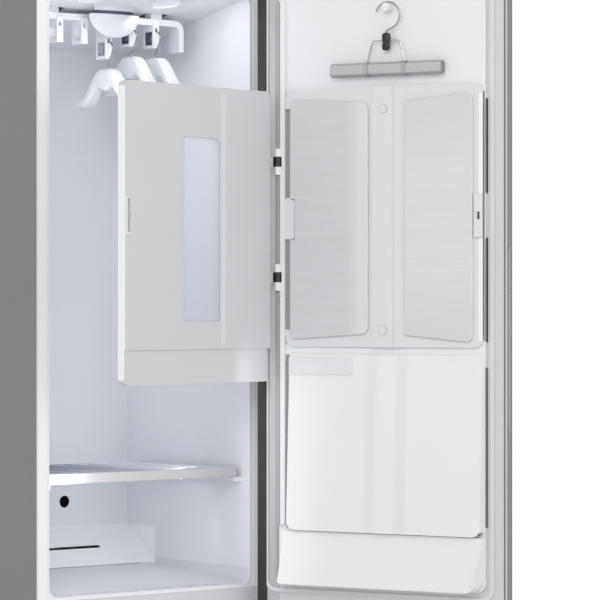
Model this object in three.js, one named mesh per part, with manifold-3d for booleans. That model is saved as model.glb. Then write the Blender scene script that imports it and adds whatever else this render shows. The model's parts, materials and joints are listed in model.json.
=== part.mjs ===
// Clothes care steam cabinet: a tall cabinet with a hanger rack that shakes, a shelf, two water
// tanks and a machine bay. Its door carries a trouser press: a fixed base with two pads, and a
// hinged cover that shuts onto them. The door and the cover stand open.
// Millimetres, +Z up, the front faces -Y, the origin is the centre of the base on the floor.
import * as THREE from 'three';
import { mergeVertices } from 'three/addons/utils/BufferGeometryUtils.js';
import Module from 'manifold-3d';

const wasm = await Module();
wasm.setup();

// Clearances and overruns
const SEAT = 0.3;
const RUN = 5;
const SLIDE_GAP = 2;

// Outer body
const CABINET_WIDTH = 600;
const BODY_DEPTH = 530;
const CASE_TOP = 1945;
const CASE_BOTTOM = 12;
const CASE_WALL = 1.2;
const CASE_CORNER = 12;
const HALF = CABINET_WIDTH / 2;
const FRONT = -BODY_DEPTH / 2;
const BACK = BODY_DEPTH / 2;
const INSIDE_CASE = HALF - CASE_WALL - SEAT;

// Treatment compartment
const INTERIOR_WIDTH = 538;
const INTERIOR_DEPTH = 460;
const FLOOR_FRONT = 555;
const HEADER_HEIGHT = 88;
const OPENING_TOP = CASE_TOP - HEADER_HEIGHT;
const OPENING_CORNER = 22;
const CEILING_SLOPE = 12 * Math.PI / 180;
const FLOOR_RISE = 24;
const SLANT_RISE = 81;
const SLANT_RUN = 107;
const SLANT_FOOT = FLOOR_FRONT + FLOOR_RISE;
const SLANT_TOP = SLANT_FOOT + SLANT_RISE;
const LINER_WALL = 3;
const FRAME_WALL = 3;
const IN_X = INTERIOR_WIDTH / 2;
const IN_BACK = FRONT + INTERIOR_DEPTH;
const SLANT_Y = IN_BACK - SLANT_RUN;
const SLANT_PITCH = Math.atan2(SLANT_TOP - SLANT_FOOT, SLANT_RUN);

// Door and its hinge
const DOOR_THICKNESS = 44;
const DOOR_GAP = 4;
const DOOR_BOTTOM = 60;
const DOOR_TOP_GAP = 2;
const DOOR_TOP = CASE_TOP - DOOR_TOP_GAP;
const DOOR_WALL = 1.2;
const DOOR_CORNER = 8;
const GLASS = 3.2;
const HINGE_X = 292;
const HINGE_INSET = 33;
const DOOR_OPEN = 111.5 * Math.PI / 180;
const DOOR_BACK = FRONT - DOOR_GAP;
const DOOR_FRONT = DOOR_BACK - DOOR_THICKNESS;
const SHELL_FRONT = DOOR_FRONT + GLASS + SEAT;
const HINGE_Y = FRONT - HINGE_INSET;
const HINGE_PIN = 3.5;

// Inner side of the door, in the closed door's place
const LINER_HINGE_X = 251;
const LINER_FREE_X = 261;
const LINER_BOTTOM = 562;
const LINER_TOP_GAP = 9;
const LINER_TOP = OPENING_TOP - LINER_TOP_GAP;
const LINER_RISE = 6;
const LINER_CORNER = 20;
const LINER_FACE = DOOR_BACK + LINER_RISE;

// Trouser press
const PRESS_TOP = 1644;
const PRESS_BOTTOM = 1081.5;
const PRESS_HINGE_X = 222.5;
const PRESS_FREE_X = 259;
const PRESS_CORNER = 22;
const SCOOP_TOP = 679;
const KEEPER_LOW = 1316.3;
const KEEPER_TOP = 1407.7;
const PRESS_BASE_RISE = 6;
const PAD_RISE = 6;
const COVER_HINGE_X = 240;
const COVER_HINGE_Y = -255;
const COVER_OPEN = 98.8 * Math.PI / 180;
const COVER_FREE_X = 260;
const COVER_SIDE_X = 221;
const COVER_TOP = 1639;
const COVER_LIP = 1078;
const COVER_BOTTOM = 1005;
const COVER_THICKNESS = 19;
const COVER_RUNNING_GAP = 2;
const BASE_FACE = LINER_FACE + SEAT + PRESS_BASE_RISE;
const PAD_FACE = BASE_FACE + SEAT + PAD_RISE;
const COVER_FACE = PAD_FACE + COVER_RUNNING_GAP;
const COVER_BACK = COVER_FACE + COVER_THICKNESS;

// Hanger rack and hangers
const RACK_FRONT = -100;
const RACK_DEPTH = 40;
const BEAM_DROP = 48;
const BEAM_TOP = OPENING_TOP - BEAM_DROP;
const BEAM_THICKNESS = 14;
const RACK_HALF = 210;
const ARM_THICKNESS = 13;
const ARM_LENGTH = 70;
const ARM_BOTTOM = BEAM_TOP - ARM_LENGTH;
const RACK_CORNER = 24;
const HOLDER_PITCH = 65;
const HOLDER_THICKNESS = 16;
const HOLDER_DEPTH = 39;
const HOLDER_LENGTH = 65;
const HOLDER_BOTTOM = BEAM_TOP - HOLDER_LENGTH;
const CENTRE_DROP = 30;
const RACK_TRAVEL = 15;
const HANGER_Y = -102;
const HOOK_DROP = 25;
const HOOK_TOP = BEAM_TOP - HOOK_DROP;
const HOOK_RADIUS = 17;
const HOOK_WIRE = 1.75;
const HOOK_LENGTH = 62;
const HANGER_TOP = HOOK_TOP - HOOK_LENGTH;
const HANGER_HALF = 120;
const HANGER_DROP = 70;

// Shelf, tanks and filter
const SHELF_TOP = 812;
const SHELF_THICKNESS = 22;
const SHELF_FRONT = -235;
const SHELF_DEPTH = 346;
const SHELF_HALF = 255;
const TANK_BOTTOM = 110;
const TANK_HEIGHT = 340;
const TANK_WIDTH = 192;
const TANK_DEPTH = 196;
const TANK_OFFSET = 160;
const FILTER_WIDTH = 92;
const FILTER_HEIGHT = 120;

const finish = {
  darkSteel: [0x3b3d40, 0.35, 0.8],
  caseGray: [0x4a4c50, 0.4, 0.6],
  paleGray: [0xc9cbcc, 0.5, 0],
  white: [0xe9e9e8, 0.45, 0],
  padGray: [0xb9bbbd, 0.6, 0.1],
  chrome: [0xd5d7d9, 0.15, 1],
  silver: [0xbfc1c3, 0.3, 0.8],
  rubber: [0x2a2b2c, 0.85, 0],
  black: [0x151617, 0.3, 0],
  glass: [0x1a1b1d, 0.08, 0],
  clear: [0xdfe4e6, 0.1, 0],
  copper: [0xa8623c, 0.35, 0.9],
  zinc: [0x9b9ea1, 0.45, 0.8],
  board: [0x2f5a3b, 0.6, 0],
  tank: [0xa9b6bd, 0.2, 0],
};

// Solid tools
function solid(geometry) {
  const plain = geometry.clone();
  plain.deleteAttribute('normal');
  plain.deleteAttribute('uv');
  const merged = mergeVertices(plain);
  return new wasm.Manifold(new wasm.Mesh({
    numProp: 3,
    vertProperties: new Float32Array(merged.attributes.position.array),
    triVerts: new Uint32Array(merged.index.array),
  }));
}

function join(...parts) {
  return parts.reduce((whole, part) => whole.add(part));
}

function cut(whole, ...tools) {
  return tools.reduce((rest, tool) => rest.subtract(tool), whole);
}

function toGeometry(body) {
  const mesh = body.getMesh();
  const geometry = new THREE.BufferGeometry();
  const places = new Float32Array(mesh.numVert * 3);
  for (let i = 0; i < mesh.numVert; i += 1) {
    for (let k = 0; k < 3; k += 1) places[3 * i + k] = mesh.vertProperties[mesh.numProp * i + k];
  }
  geometry.setAttribute('position', new THREE.BufferAttribute(places, 3));
  geometry.setIndex(new THREE.BufferAttribute(new Uint32Array(mesh.triVerts), 1));
  return geometry;
}

// A box from its lowest to its highest corner
function box(x0, x1, y0, y1, z0, z1) {
  const geometry = new THREE.BoxGeometry(x1 - x0, y1 - y0, z1 - z0);
  return solid(geometry.translate((x0 + x1) / 2, (y0 + y1) / 2, (z0 + z1) / 2));
}

// A rectangle with its own radius at each corner: low left, low right, high right, high left
function roundRect(x0, x1, z0, z1, lowLeft, lowRight = lowLeft, highRight = lowLeft, highLeft = lowLeft) {
  const shape = new THREE.Shape();
  shape.moveTo(x0 + lowLeft, z0);
  shape.lineTo(x1 - lowRight, z0);
  if (lowRight > 0) shape.absarc(x1 - lowRight, z0 + lowRight, lowRight, -Math.PI / 2, 0);
  shape.lineTo(x1, z1 - highRight);
  if (highRight > 0) shape.absarc(x1 - highRight, z1 - highRight, highRight, 0, Math.PI / 2);
  shape.lineTo(x0 + highLeft, z1);
  if (highLeft > 0) shape.absarc(x0 + highLeft, z1 - highLeft, highLeft, Math.PI / 2, Math.PI);
  shape.lineTo(x0, z0 + lowLeft);
  if (lowLeft > 0) shape.absarc(x0 + lowLeft, z0 + lowLeft, lowLeft, Math.PI, 1.5 * Math.PI);
  return shape;
}

function outline(points) {
  return new THREE.Shape(points.map(([u, v]) => new THREE.Vector2(u, v)));
}

// An outline whose corners are each rounded by their own reach
function softOutline(points, reaches) {
  const shape = new THREE.Shape();
  points.forEach(([u, v], k) => {
    const corner = new THREE.Vector2(u, v);
    const toward = (step) => new THREE.Vector2(...points[(k + step + points.length) % points.length])
      .sub(corner).setLength(reaches[k]).add(corner);
    const start = toward(-1);
    const end = toward(1);
    if (k === 0) shape.moveTo(start.x, start.y);
    else shape.lineTo(start.x, start.y);
    shape.quadraticCurveTo(u, v, end.x, end.y);
  });
  return shape;
}

const ARC_STEPS = 4;

function extrude(shape, length, steps = ARC_STEPS) {
  return new THREE.ExtrudeGeometry(shape, { depth: length, bevelEnabled: false, curveSegments: steps });
}

// A prism along Y of a shape drawn in X and Z
function prismY(shape, y0, y1, steps) {
  return solid(extrude(shape, y1 - y0, steps).rotateX(Math.PI / 2).translate(0, y1, 0));
}

// A prism along X of a shape drawn in Y and Z
function prismX(shape, x0, x1, steps) {
  const turn = new THREE.Matrix4().makeBasis(
    new THREE.Vector3(0, 1, 0), new THREE.Vector3(0, 0, 1), new THREE.Vector3(1, 0, 0));
  return solid(extrude(shape, x1 - x0, steps).applyMatrix4(turn).translate(x0, 0, 0));
}

// A prism along Z of a shape drawn in X and Y
function prismZ(shape, z0, z1, steps) {
  return solid(extrude(shape, z1 - z0, steps).translate(0, 0, z0));
}

const ROUND_STEPS = 16;

function rodZ(x, y, z0, z1, radius, steps = ROUND_STEPS) {
  const geometry = new THREE.CylinderGeometry(radius, radius, z1 - z0, steps).rotateX(Math.PI / 2);
  return solid(geometry.translate(x, y, (z0 + z1) / 2));
}

function rodY(x, z, y0, y1, radius, steps = ROUND_STEPS) {
  const geometry = new THREE.CylinderGeometry(radius, radius, y1 - y0, steps);
  return solid(geometry.translate(x, (y0 + y1) / 2, z));
}

function rodX(y, z, x0, x1, radius, steps = ROUND_STEPS) {
  const geometry = new THREE.CylinderGeometry(radius, radius, x1 - x0, steps).rotateZ(Math.PI / 2);
  return solid(geometry.translate((x0 + x1) / 2, y, z));
}

// A solid of revolution about Z, from pairs of radius and height
function lathe(points, steps = ROUND_STEPS) {
  const profile = points.map(([r, z]) => new THREE.Vector2(r, z));
  return solid(new THREE.LatheGeometry(profile, steps).rotateX(Math.PI / 2));
}

const WIRE_SIDES = 6;

// A round wire along a curve
function wire(curve, radius, steps) {
  const ring = new THREE.Shape();
  ring.moveTo(radius, 0);
  for (let k = 1; k < WIRE_SIDES; k += 1) {
    const turn = 2 * Math.PI * k / WIRE_SIDES;
    ring.lineTo(radius * Math.cos(turn), radius * Math.sin(turn));
  }
  return solid(new THREE.ExtrudeGeometry(ring, { extrudePath: curve, steps, curveSegments: 1 }));
}

// A skin over rings of points, closed at both ends
function loft(rings) {
  const count = rings[0].length;
  const places = [];
  const faces = [];
  rings.forEach((ring) => ring.forEach((p) => places.push(p.x, p.y, p.z)));
  for (let r = 0; r < rings.length - 1; r += 1) {
    for (let k = 0; k < count; k += 1) {
      const a = r * count + k;
      const b = r * count + (k + 1) % count;
      faces.push(a, b, b + count, a, b + count, a + count);
    }
  }
  const last = (rings.length - 1) * count;
  for (let k = 1; k < count - 1; k += 1) {
    faces.push(0, k + 1, k);
    faces.push(last, last + k, last + k + 1);
  }
  const geometry = new THREE.BufferGeometry();
  geometry.setAttribute('position', new THREE.Float32BufferAttribute(places, 3));
  geometry.setIndex(faces);
  return solid(geometry);
}

// Groups: the cabinet, the closed door turned about its hinge, and the cover turned on the door
const cabinet = new THREE.Group();

function hinged(parent, x, y, angle) {
  const turned = new THREE.Group();
  turned.position.set(x, y, 0);
  turned.rotation.z = angle;
  const inner = new THREE.Group();
  inner.position.set(-x, -y, 0);
  turned.add(inner);
  parent.add(turned);
  return inner;
}

const door = hinged(cabinet, HINGE_X, HINGE_Y, DOOR_OPEN);
const cover = hinged(door, COVER_HINGE_X, COVER_HINGE_Y, -COVER_OPEN);
const ceiling = new THREE.Group();
ceiling.position.set(0, FRONT, OPENING_TOP);
ceiling.rotation.x = -CEILING_SLOPE;
cabinet.add(ceiling);

function piece(parent, name, body, [color, roughness, metalness]) {
  const material = new THREE.MeshStandardMaterial({ color, roughness, metalness });
  const mesh = new THREE.Mesh(toGeometry(body), material);
  mesh.name = name;
  parent.add(mesh);
}

// Everything above the ceiling's lower face, with a gap, as a cutting tool
function aboveCeiling() {
  const reach = INTERIOR_DEPTH;
  const slab = new THREE.BoxGeometry(INTERIOR_WIDTH, reach, reach).translate(0, reach / 2, reach / 2 - SEAT);
  slab.rotateX(-CEILING_SLOPE).translate(0, FRONT, OPENING_TOP);
  return solid(slab);
}

// Outer case, back panel and base
const FOOT_INSET = 60;
const FOOT_RADIUS = 20;
const FOOT_HEIGHT = 8;
const FOOT_STEM = 5;
const FOOT_STEM_TOP = 44;
const FOOT_POCKET = 23;
const FOOT_ROOF = 12;
const TRAY_FLOOR = 2;
const TRAY_RIM = 40;
const TRIM_TOP = 50;

function caseShell() {
  const outer = roundRect(-HALF, HALF, CASE_BOTTOM, CASE_TOP, 0, 0, CASE_CORNER, CASE_CORNER);
  const inner = roundRect(-HALF + CASE_WALL, HALF - CASE_WALL, CASE_BOTTOM - RUN, CASE_TOP - CASE_WALL,
    0, 0, CASE_CORNER - CASE_WALL, CASE_CORNER - CASE_WALL);
  return cut(prismY(outer, FRONT, BACK), prismY(inner, FRONT - RUN, BACK + RUN));
}

const LOUVRE_LENGTH = 150;
const LOUVRE_HEIGHT = 6;
const LOUVRE_PITCH = 16;
const LOUVRE_COUNT = 12;
const LOUVRE_LOW = 130;
const LOUVRE_X = 130;
const PANEL_RIB = 24;
const PANEL_RIB_RISE = 5;
const PANEL_RIB_X = 180;
const PANEL_RIB_LOW = 420;
const PANEL_RIB_TOP = 1840;

function backPanel() {
  const top = CASE_TOP - CASE_WALL - SEAT;
  const corner = CASE_CORNER - CASE_WALL;
  const plate = prismY(roundRect(-INSIDE_CASE, INSIDE_CASE, CASE_BOTTOM, top, 0, 0, corner, corner),
    BACK - CASE_WALL, BACK);
  const ribs = [-PANEL_RIB_X, 0, PANEL_RIB_X].map((x) => prismZ(outline([
    [x - PANEL_RIB, BACK - CASE_WALL], [x - PANEL_RIB / 2, BACK - CASE_WALL - PANEL_RIB_RISE],
    [x + PANEL_RIB / 2, BACK - CASE_WALL - PANEL_RIB_RISE], [x + PANEL_RIB, BACK - CASE_WALL],
    [x + PANEL_RIB - CASE_WALL, BACK], [x + PANEL_RIB / 2, BACK - PANEL_RIB_RISE],
    [x - PANEL_RIB / 2, BACK - PANEL_RIB_RISE], [x - PANEL_RIB + CASE_WALL, BACK]]),
  PANEL_RIB_LOW, PANEL_RIB_TOP));
  const hollows = [-PANEL_RIB_X, 0, PANEL_RIB_X].map((x) => box(x - PANEL_RIB / 2, x + PANEL_RIB / 2,
    BACK - PANEL_RIB_RISE, BACK + RUN, PANEL_RIB_LOW, PANEL_RIB_TOP));
  const louvres = [];
  for (let row = 0; row < LOUVRE_COUNT; row += 1) {
    const z = LOUVRE_LOW + row * LOUVRE_PITCH;
    for (const x of [-LOUVRE_X, LOUVRE_X]) {
      louvres.push(box(x - LOUVRE_LENGTH / 2, x + LOUVRE_LENGTH / 2, BACK - CASE_WALL - RUN, BACK + RUN,
        z, z + LOUVRE_HEIGHT));
    }
  }
  return cut(join(plate, ...ribs), ...hollows, ...louvres);
}

const footPlaces = [[-1, -1], [1, -1], [1, 1], [-1, 1]].map(([sideX, sideY]) => [
  sideX * (HALF - FOOT_INSET), sideY * (BACK - FOOT_INSET)]);

function baseTray() {
  const y0 = FRONT + FRAME_WALL + SEAT;
  const y1 = BACK - CASE_WALL - SEAT;
  const wall = TRAY_FLOOR;
  const pan = cut(box(-INSIDE_CASE, INSIDE_CASE, y0, y1, 0, TRAY_RIM),
    box(-INSIDE_CASE + wall, INSIDE_CASE - wall, y0 + wall, y1 - wall, TRAY_FLOOR, TRAY_RIM + RUN));
  const bosses = footPlaces.map(([x, y]) => rodZ(x, y, 0, FOOT_ROOF + wall, FOOT_POCKET + wall));
  const pockets = footPlaces.map(([x, y]) => rodZ(x, y, -RUN, FOOT_ROOF, FOOT_POCKET));
  const holes = footPlaces.map(([x, y]) => rodZ(x, y, -RUN, FOOT_ROOF + wall + RUN, FOOT_STEM + SEAT));
  return cut(join(pan, ...bosses), ...pockets, ...holes);
}

function levelingFoot([x, y]) {
  return join(rodZ(x, y, 0, FOOT_HEIGHT, FOOT_RADIUS), rodZ(x, y, 0, FOOT_STEM_TOP, FOOT_STEM));
}

piece(cabinet, 'outer_case', caseShell(), finish.caseGray);
piece(cabinet, 'back_panel', backPanel(), finish.zinc);
piece(cabinet, 'base_tray', baseTray(), finish.zinc);
footPlaces.forEach((place, k) => piece(cabinet, `leveling_foot_${k + 1}`, levelingFoot(place), finish.rubber));

// Treatment compartment: a liner with the front frame, and the sloped ceiling with its two lamps
const FRAME_BOTTOM = 547;
const LINER_STAND = 12;
const DRAIN_SLOT_LENGTH = 105;
const DRAIN_SLOT_PITCH = 125;
const DRAIN_SLOT_WIDTH = 5;
const DRAIN_SLOT_INSET = 22;
const DRAIN_SLOT_SHIFT = 15;
const INTAKE_LENGTH = 300;
const INTAKE_WIDTH = 10;
const SEAM_LENGTH = 456;
const SEAM_WIDTH = 1.6;
const STEAM_PORT = 14;
const STEAM_PORT_X = 90;
const STEAM_PORT_Z = 720;
const LEDGE_THICKNESS = 10;
const LEDGE_REACH = 22;
const SHELF_BACK = SHELF_FRONT + SHELF_DEPTH;
const SHELF_BOTTOM = SHELF_TOP - SHELF_THICKNESS;

function compartmentProfile(grow, front) {
  return outline([
    [front, FLOOR_FRONT - grow], [SLANT_Y + grow * Math.tan(SLANT_PITCH / 2), SLANT_FOOT - grow],
    [IN_BACK + grow, SLANT_TOP - grow * Math.tan(SLANT_PITCH / 2)],
    [IN_BACK + grow, OPENING_TOP + LINER_STAND], [front, OPENING_TOP + LINER_STAND]]);
}

function interiorLiner() {
  const box0 = prismX(compartmentProfile(LINER_WALL, FRONT), -IN_X - LINER_WALL, IN_X + LINER_WALL);
  const frame = box(-INSIDE_CASE, INSIDE_CASE, FRONT, FRONT + FRAME_WALL, FRAME_BOTTOM,
    CASE_TOP - CASE_WALL - CASE_CORNER);
  const hollow = prismX(compartmentProfile(0, FRONT + FRAME_WALL), -IN_X, IN_X)
    .add(prismX(outline([
      [FRONT + FRAME_WALL, OPENING_TOP], [IN_BACK, OPENING_TOP - RUN],
      [IN_BACK, OPENING_TOP + LINER_STAND + RUN], [FRONT + FRAME_WALL, OPENING_TOP + LINER_STAND + RUN]]),
    -IN_X, IN_X));
  const mouth = prismY(roundRect(-IN_X, IN_X, FLOOR_FRONT, OPENING_TOP, OPENING_CORNER),
    FRONT - RUN, FRONT + FRAME_WALL + RUN);
  const drains = [-1, 0, 1].map((k) => {
    const x = k * DRAIN_SLOT_PITCH + DRAIN_SLOT_SHIFT;
    return box(x - DRAIN_SLOT_LENGTH / 2, x + DRAIN_SLOT_LENGTH / 2, FRONT + DRAIN_SLOT_INSET,
      FRONT + DRAIN_SLOT_INSET + DRAIN_SLOT_WIDTH, FLOOR_FRONT - LINER_WALL - RUN, SLANT_FOOT);
  });
  const intakeY = SLANT_Y + SLANT_RUN / 2;
  const intake = box(-INTAKE_LENGTH / 2, INTAKE_LENGTH / 2, intakeY - INTAKE_WIDTH / 2,
    intakeY + INTAKE_WIDTH / 2, SLANT_FOOT - LINER_WALL - RUN, SLANT_TOP + RUN);
  const seam = box(-SEAM_LENGTH / 2, SEAM_LENGTH / 2, SLANT_Y - SEAM_WIDTH / 2, SLANT_Y + SEAM_WIDTH / 2,
    SLANT_FOOT - SEAM_WIDTH, SLANT_TOP);
  const ports = [-STEAM_PORT_X, STEAM_PORT_X].map((x) => rodY(x, STEAM_PORT_Z, IN_BACK - RUN,
    IN_BACK + LINER_WALL + RUN, STEAM_PORT));
  const ledges = [-1, 1].map((side) => {
    const wall = side * (IN_X + LINER_WALL / 2);
    const tip = side * (IN_X - LEDGE_REACH);
    return box(Math.min(wall, tip), Math.max(wall, tip), SHELF_FRONT, SHELF_BACK,
      SHELF_BOTTOM - SEAT - LEDGE_THICKNESS, SHELF_BOTTOM - SEAT);
  });
  return join(cut(join(box0, frame), hollow, mouth, ...drains, intake, seam, ...ports), ...ledges);
}

const LAMP_X = 101;
const LAMP_RUN = 87;
const LAMP_RADIUS = 33;
const LAMP_RING = 3;
const LAMP_RING_DROP = 4;
const LAMP_LENS_DROP = 2;
const LAMP_BODY = 14;
const SHOE_X = 140;
const SHOE_WIDTH = 30;
const SHOE_DEPTH = 24;
const SHOE_Y = RACK_FRONT + RACK_DEPTH / 2;
const RAIL_RISE = 29;
const RAIL_Z = BEAM_TOP + RAIL_RISE;
const RAIL_RADIUS = 6;
const RAIL_FLANGE = 12;
const RAIL_FLANGE_WALL = 4;

function ceilingPanel() {
  const end = (INTERIOR_DEPTH - SEAT - LINER_WALL * Math.sin(CEILING_SLOPE)) / Math.cos(CEILING_SLOPE);
  const start = FRAME_WALL + SEAT + LINER_WALL * Math.tan(CEILING_SLOPE);
  const panel = box(-IN_X + SEAT, IN_X - SEAT, start, end, 0, LINER_WALL);
  const rings = [-LAMP_X, LAMP_X].map((x) => rodZ(x, LAMP_RUN, -LAMP_RING_DROP, LINER_WALL,
    LAMP_RADIUS + LAMP_RING, ROUND_STEPS * 2));
  const holes = [-LAMP_X, LAMP_X].map((x) => rodZ(x, LAMP_RUN, -RUN - LAMP_RING_DROP, LINER_WALL + RUN,
    LAMP_RADIUS + SEAT, ROUND_STEPS * 2));
  const shoeRun = (SHOE_Y - FRONT) / Math.cos(CEILING_SLOPE);
  const reach = SHOE_WIDTH / 2 + RACK_TRAVEL + SLIDE_GAP;
  const depth = SHOE_DEPTH / 2 + SLIDE_GAP * 2;
  const slots = [-SHOE_X, SHOE_X].map((x) => box(x - reach, x + reach, shoeRun - depth,
    shoeRun + depth + RAIL_RADIUS, -RUN, LINER_WALL + RUN));
  return cut(join(panel, ...rings), ...holes, ...slots);
}

function lampLens(x) {
  return rodZ(x, LAMP_RUN, -LAMP_LENS_DROP, LAMP_BODY, LAMP_RADIUS, ROUND_STEPS * 2);
}

piece(cabinet, 'interior_liner', interiorLiner(), finish.paleGray);
piece(ceiling, 'ceiling_panel', ceilingPanel(), finish.paleGray);
piece(ceiling, 'lamp_lens_left', lampLens(-LAMP_X), finish.clear);
piece(ceiling, 'lamp_lens_right', lampLens(LAMP_X), finish.clear);

// Hanger rack: guide rail, drive cover and motor stay, the rack slides along the rail
const BOWL_HALF = 67;
const BOWL_HEIGHT = 40;
const BOWL_BULGE = 15;
const BOWL_BACK = -124.5;
const BOWL_WALL = 3;
const BOWL_SHOULDER_DROP = 10;
const BOWL_STEPS = 24;
const MOTOR_RADIUS = 34;
const MOTOR_HEIGHT = 52;
const MOTOR_Y = 10;
const MOTOR_SHAFT = 5;
const SADDLE = 6;
const SADDLE_GAP = 0.7;
const GROOVE = 6;
const WINDOW_DEPTH = 24;
const WINDOW_HEIGHT = 28;
const WINDOW_CORNER = 10;
const HOLDER_COUNT = 5;
const holders = Array.from({ length: HOLDER_COUNT }, (_, k) => k - (HOLDER_COUNT - 1) / 2);

function guideRail() {
  const inner = IN_X - SEAT;
  return join(rodX(SHOE_Y, RAIL_Z, -inner, inner, RAIL_RADIUS),
    rodX(SHOE_Y, RAIL_Z, -inner, -inner + RAIL_FLANGE_WALL, RAIL_FLANGE),
    rodX(SHOE_Y, RAIL_Z, inner - RAIL_FLANGE_WALL, inner, RAIL_FLANGE));
}

// The bowl: half an ellipsoid below its shoulder, and half an elliptic post from there to the ceiling
function bowlForm(inset) {
  const half = BOWL_HALF - inset;
  const bulge = BOWL_BULGE - inset;
  const shoulder = BEAM_TOP - BOWL_SHOULDER_DROP;
  const tall = OPENING_TOP - shoulder;
  const ball = new THREE.SphereGeometry(1, BOWL_STEPS, BOWL_STEPS / 2).rotateX(Math.PI / 2);
  const post = new THREE.CylinderGeometry(1, 1, 1, BOWL_STEPS).rotateX(Math.PI / 2);
  return join(solid(ball.scale(half, bulge, BOWL_HEIGHT - inset).translate(0, BOWL_BACK, shoulder)),
    solid(post.scale(half, bulge, tall).translate(0, BOWL_BACK, shoulder + tall / 2)));
}

function driveCover() {
  const behind = box(-BOWL_HALF - RUN, BOWL_HALF + RUN, BOWL_BACK, BACK, ARM_BOTTOM, OPENING_TOP + RUN);
  return cut(bowlForm(0), bowlForm(BOWL_WALL), behind, aboveCeiling());
}

function holderBlock(place) {
  const drop = place === 0 ? CENTRE_DROP : 0;
  const x = place * HOLDER_PITCH;
  const front = HANGER_Y - SADDLE / 2;
  const back = front + HOLDER_DEPTH;
  const saddleTop = HOOK_TOP - 2 * HOOK_WIRE - SADDLE_GAP - drop;
  const block = box(x - HOLDER_THICKNESS / 2, x + HOLDER_THICKNESS / 2, front, back,
    HOLDER_BOTTOM - drop, BEAM_TOP - BEAM_THICKNESS / 2);
  const groove = box(x - GROOVE / 2, x + GROOVE / 2, front - RUN, front + SADDLE + WINDOW_DEPTH, saddleTop,
    HOOK_TOP + RUN - drop);
  const bay = prismX(roundRect(front + SADDLE, front + SADDLE + WINDOW_DEPTH, saddleTop - WINDOW_HEIGHT,
    saddleTop, 0, WINDOW_CORNER, WINDOW_CORNER, 0),
  x - HOLDER_THICKNESS / 2 - RUN, x + HOLDER_THICKNESS / 2 + RUN);
  return cut(block, groove, bay);
}

function rackFrame() {
  const inner = RACK_HALF - ARM_THICKNESS;
  const round = RACK_CORNER - ARM_THICKNESS;
  const arch = cut(
    prismY(roundRect(-RACK_HALF, RACK_HALF, ARM_BOTTOM, BEAM_TOP, 0, 0, RACK_CORNER, RACK_CORNER),
      RACK_FRONT, RACK_FRONT + RACK_DEPTH),
    prismY(roundRect(-inner, inner, ARM_BOTTOM - RUN, BEAM_TOP - BEAM_THICKNESS, 0, 0, round, round),
      RACK_FRONT - RUN, RACK_FRONT + RACK_DEPTH + RUN));
  const shoes = [-SHOE_X, SHOE_X].map((x) => box(x - SHOE_WIDTH / 2, x + SHOE_WIDTH / 2,
    SHOE_Y - SHOE_DEPTH / 2, SHOE_Y + SHOE_DEPTH / 2, BEAM_TOP - BEAM_THICKNESS / 2, RAIL_Z + RAIL_FLANGE));
  const bores = [-SHOE_X, SHOE_X].map((x) => rodX(SHOE_Y, RAIL_Z, x - SHOE_WIDTH, x + SHOE_WIDTH,
    RAIL_RADIUS + SEAT * 2));
  return cut(join(arch, ...holders.map(holderBlock), ...shoes), ...bores);
}

function rackMotor() {
  const z = OPENING_TOP - (MOTOR_Y - MOTOR_RADIUS - FRONT) * Math.tan(CEILING_SLOPE)
    + LINER_WALL / Math.cos(CEILING_SLOPE) + SEAT;
  return join(rodZ(0, MOTOR_Y, z, z + MOTOR_HEIGHT, MOTOR_RADIUS),
    rodZ(0, MOTOR_Y, z + MOTOR_HEIGHT, z + MOTOR_HEIGHT + MOTOR_SHAFT, MOTOR_SHAFT));
}

piece(cabinet, 'rack_guide_rail', guideRail(), finish.chrome);
piece(cabinet, 'rack_drive_cover', driveCover(), finish.white);
piece(cabinet, 'rack_motor', rackMotor(), finish.zinc);
piece(cabinet, 'hanger_rack', rackFrame(), finish.white);

// Three hangers: a moulded body that widens to the shoulders, and a wire hook
const HANGER_NECK = 14;
const HANGER_SHOULDER = 17;
const HANGER_WEB = 50;
const HANGER_TIP = 12;
const HANGER_FLAT_share = 0.15;
const HANGER_SLOPE_share = 0.55;
const HANGER_STEEP_share = 0.8;
const HANGER_STEPS = 20;
const HANGER_SIDES = 12;
const HOOK_NECK = 15;
const hookArc_shares = [1.2, 1, 0.84, 0.67, 0.5, 0.33, 0.16, 0, -0.16];

// How far the top edge has dropped at a share of the half length: flat, then steep, then easing out
function hangerFall(reach) {
  const slope = Math.min(1, Math.max(0, (reach - HANGER_FLAT_share) / HANGER_SLOPE_share));
  const eased = slope * slope * (3 - 2 * slope);
  return HANGER_DROP * (eased * HANGER_STEEP_share + reach ** 2 * (1 - HANGER_STEEP_share));
}

function hangerBody(x, drop) {
  const rings = [];
  const square = (value) => Math.sign(value) * Math.sqrt(Math.abs(value));
  for (let k = 0; k <= HANGER_STEPS; k += 1) {
    const along = 2 * k / HANGER_STEPS - 1;
    const reach = Math.abs(along);
    const end = (1 + Math.sqrt(Math.max(0, 1 - reach ** 12))) / 2;
    const wide = (HANGER_NECK + (HANGER_SHOULDER - HANGER_NECK) * reach) * end;
    const web = (HANGER_TIP + (HANGER_WEB - HANGER_TIP) * (1 - reach) ** 1.2) * end;
    const middle = HANGER_TOP - drop - hangerFall(reach) - web / 2;
    const ring = [];
    for (let side = 0; side < HANGER_SIDES; side += 1) {
      const turn = 2 * Math.PI * side / HANGER_SIDES;
      ring.push(new THREE.Vector3(x + wide * square(Math.cos(turn)), HANGER_Y + along * HANGER_HALF,
        middle + web / 2 * square(Math.sin(turn))));
    }
    rings.push(ring);
  }
  return loft(rings.reverse());
}

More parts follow.
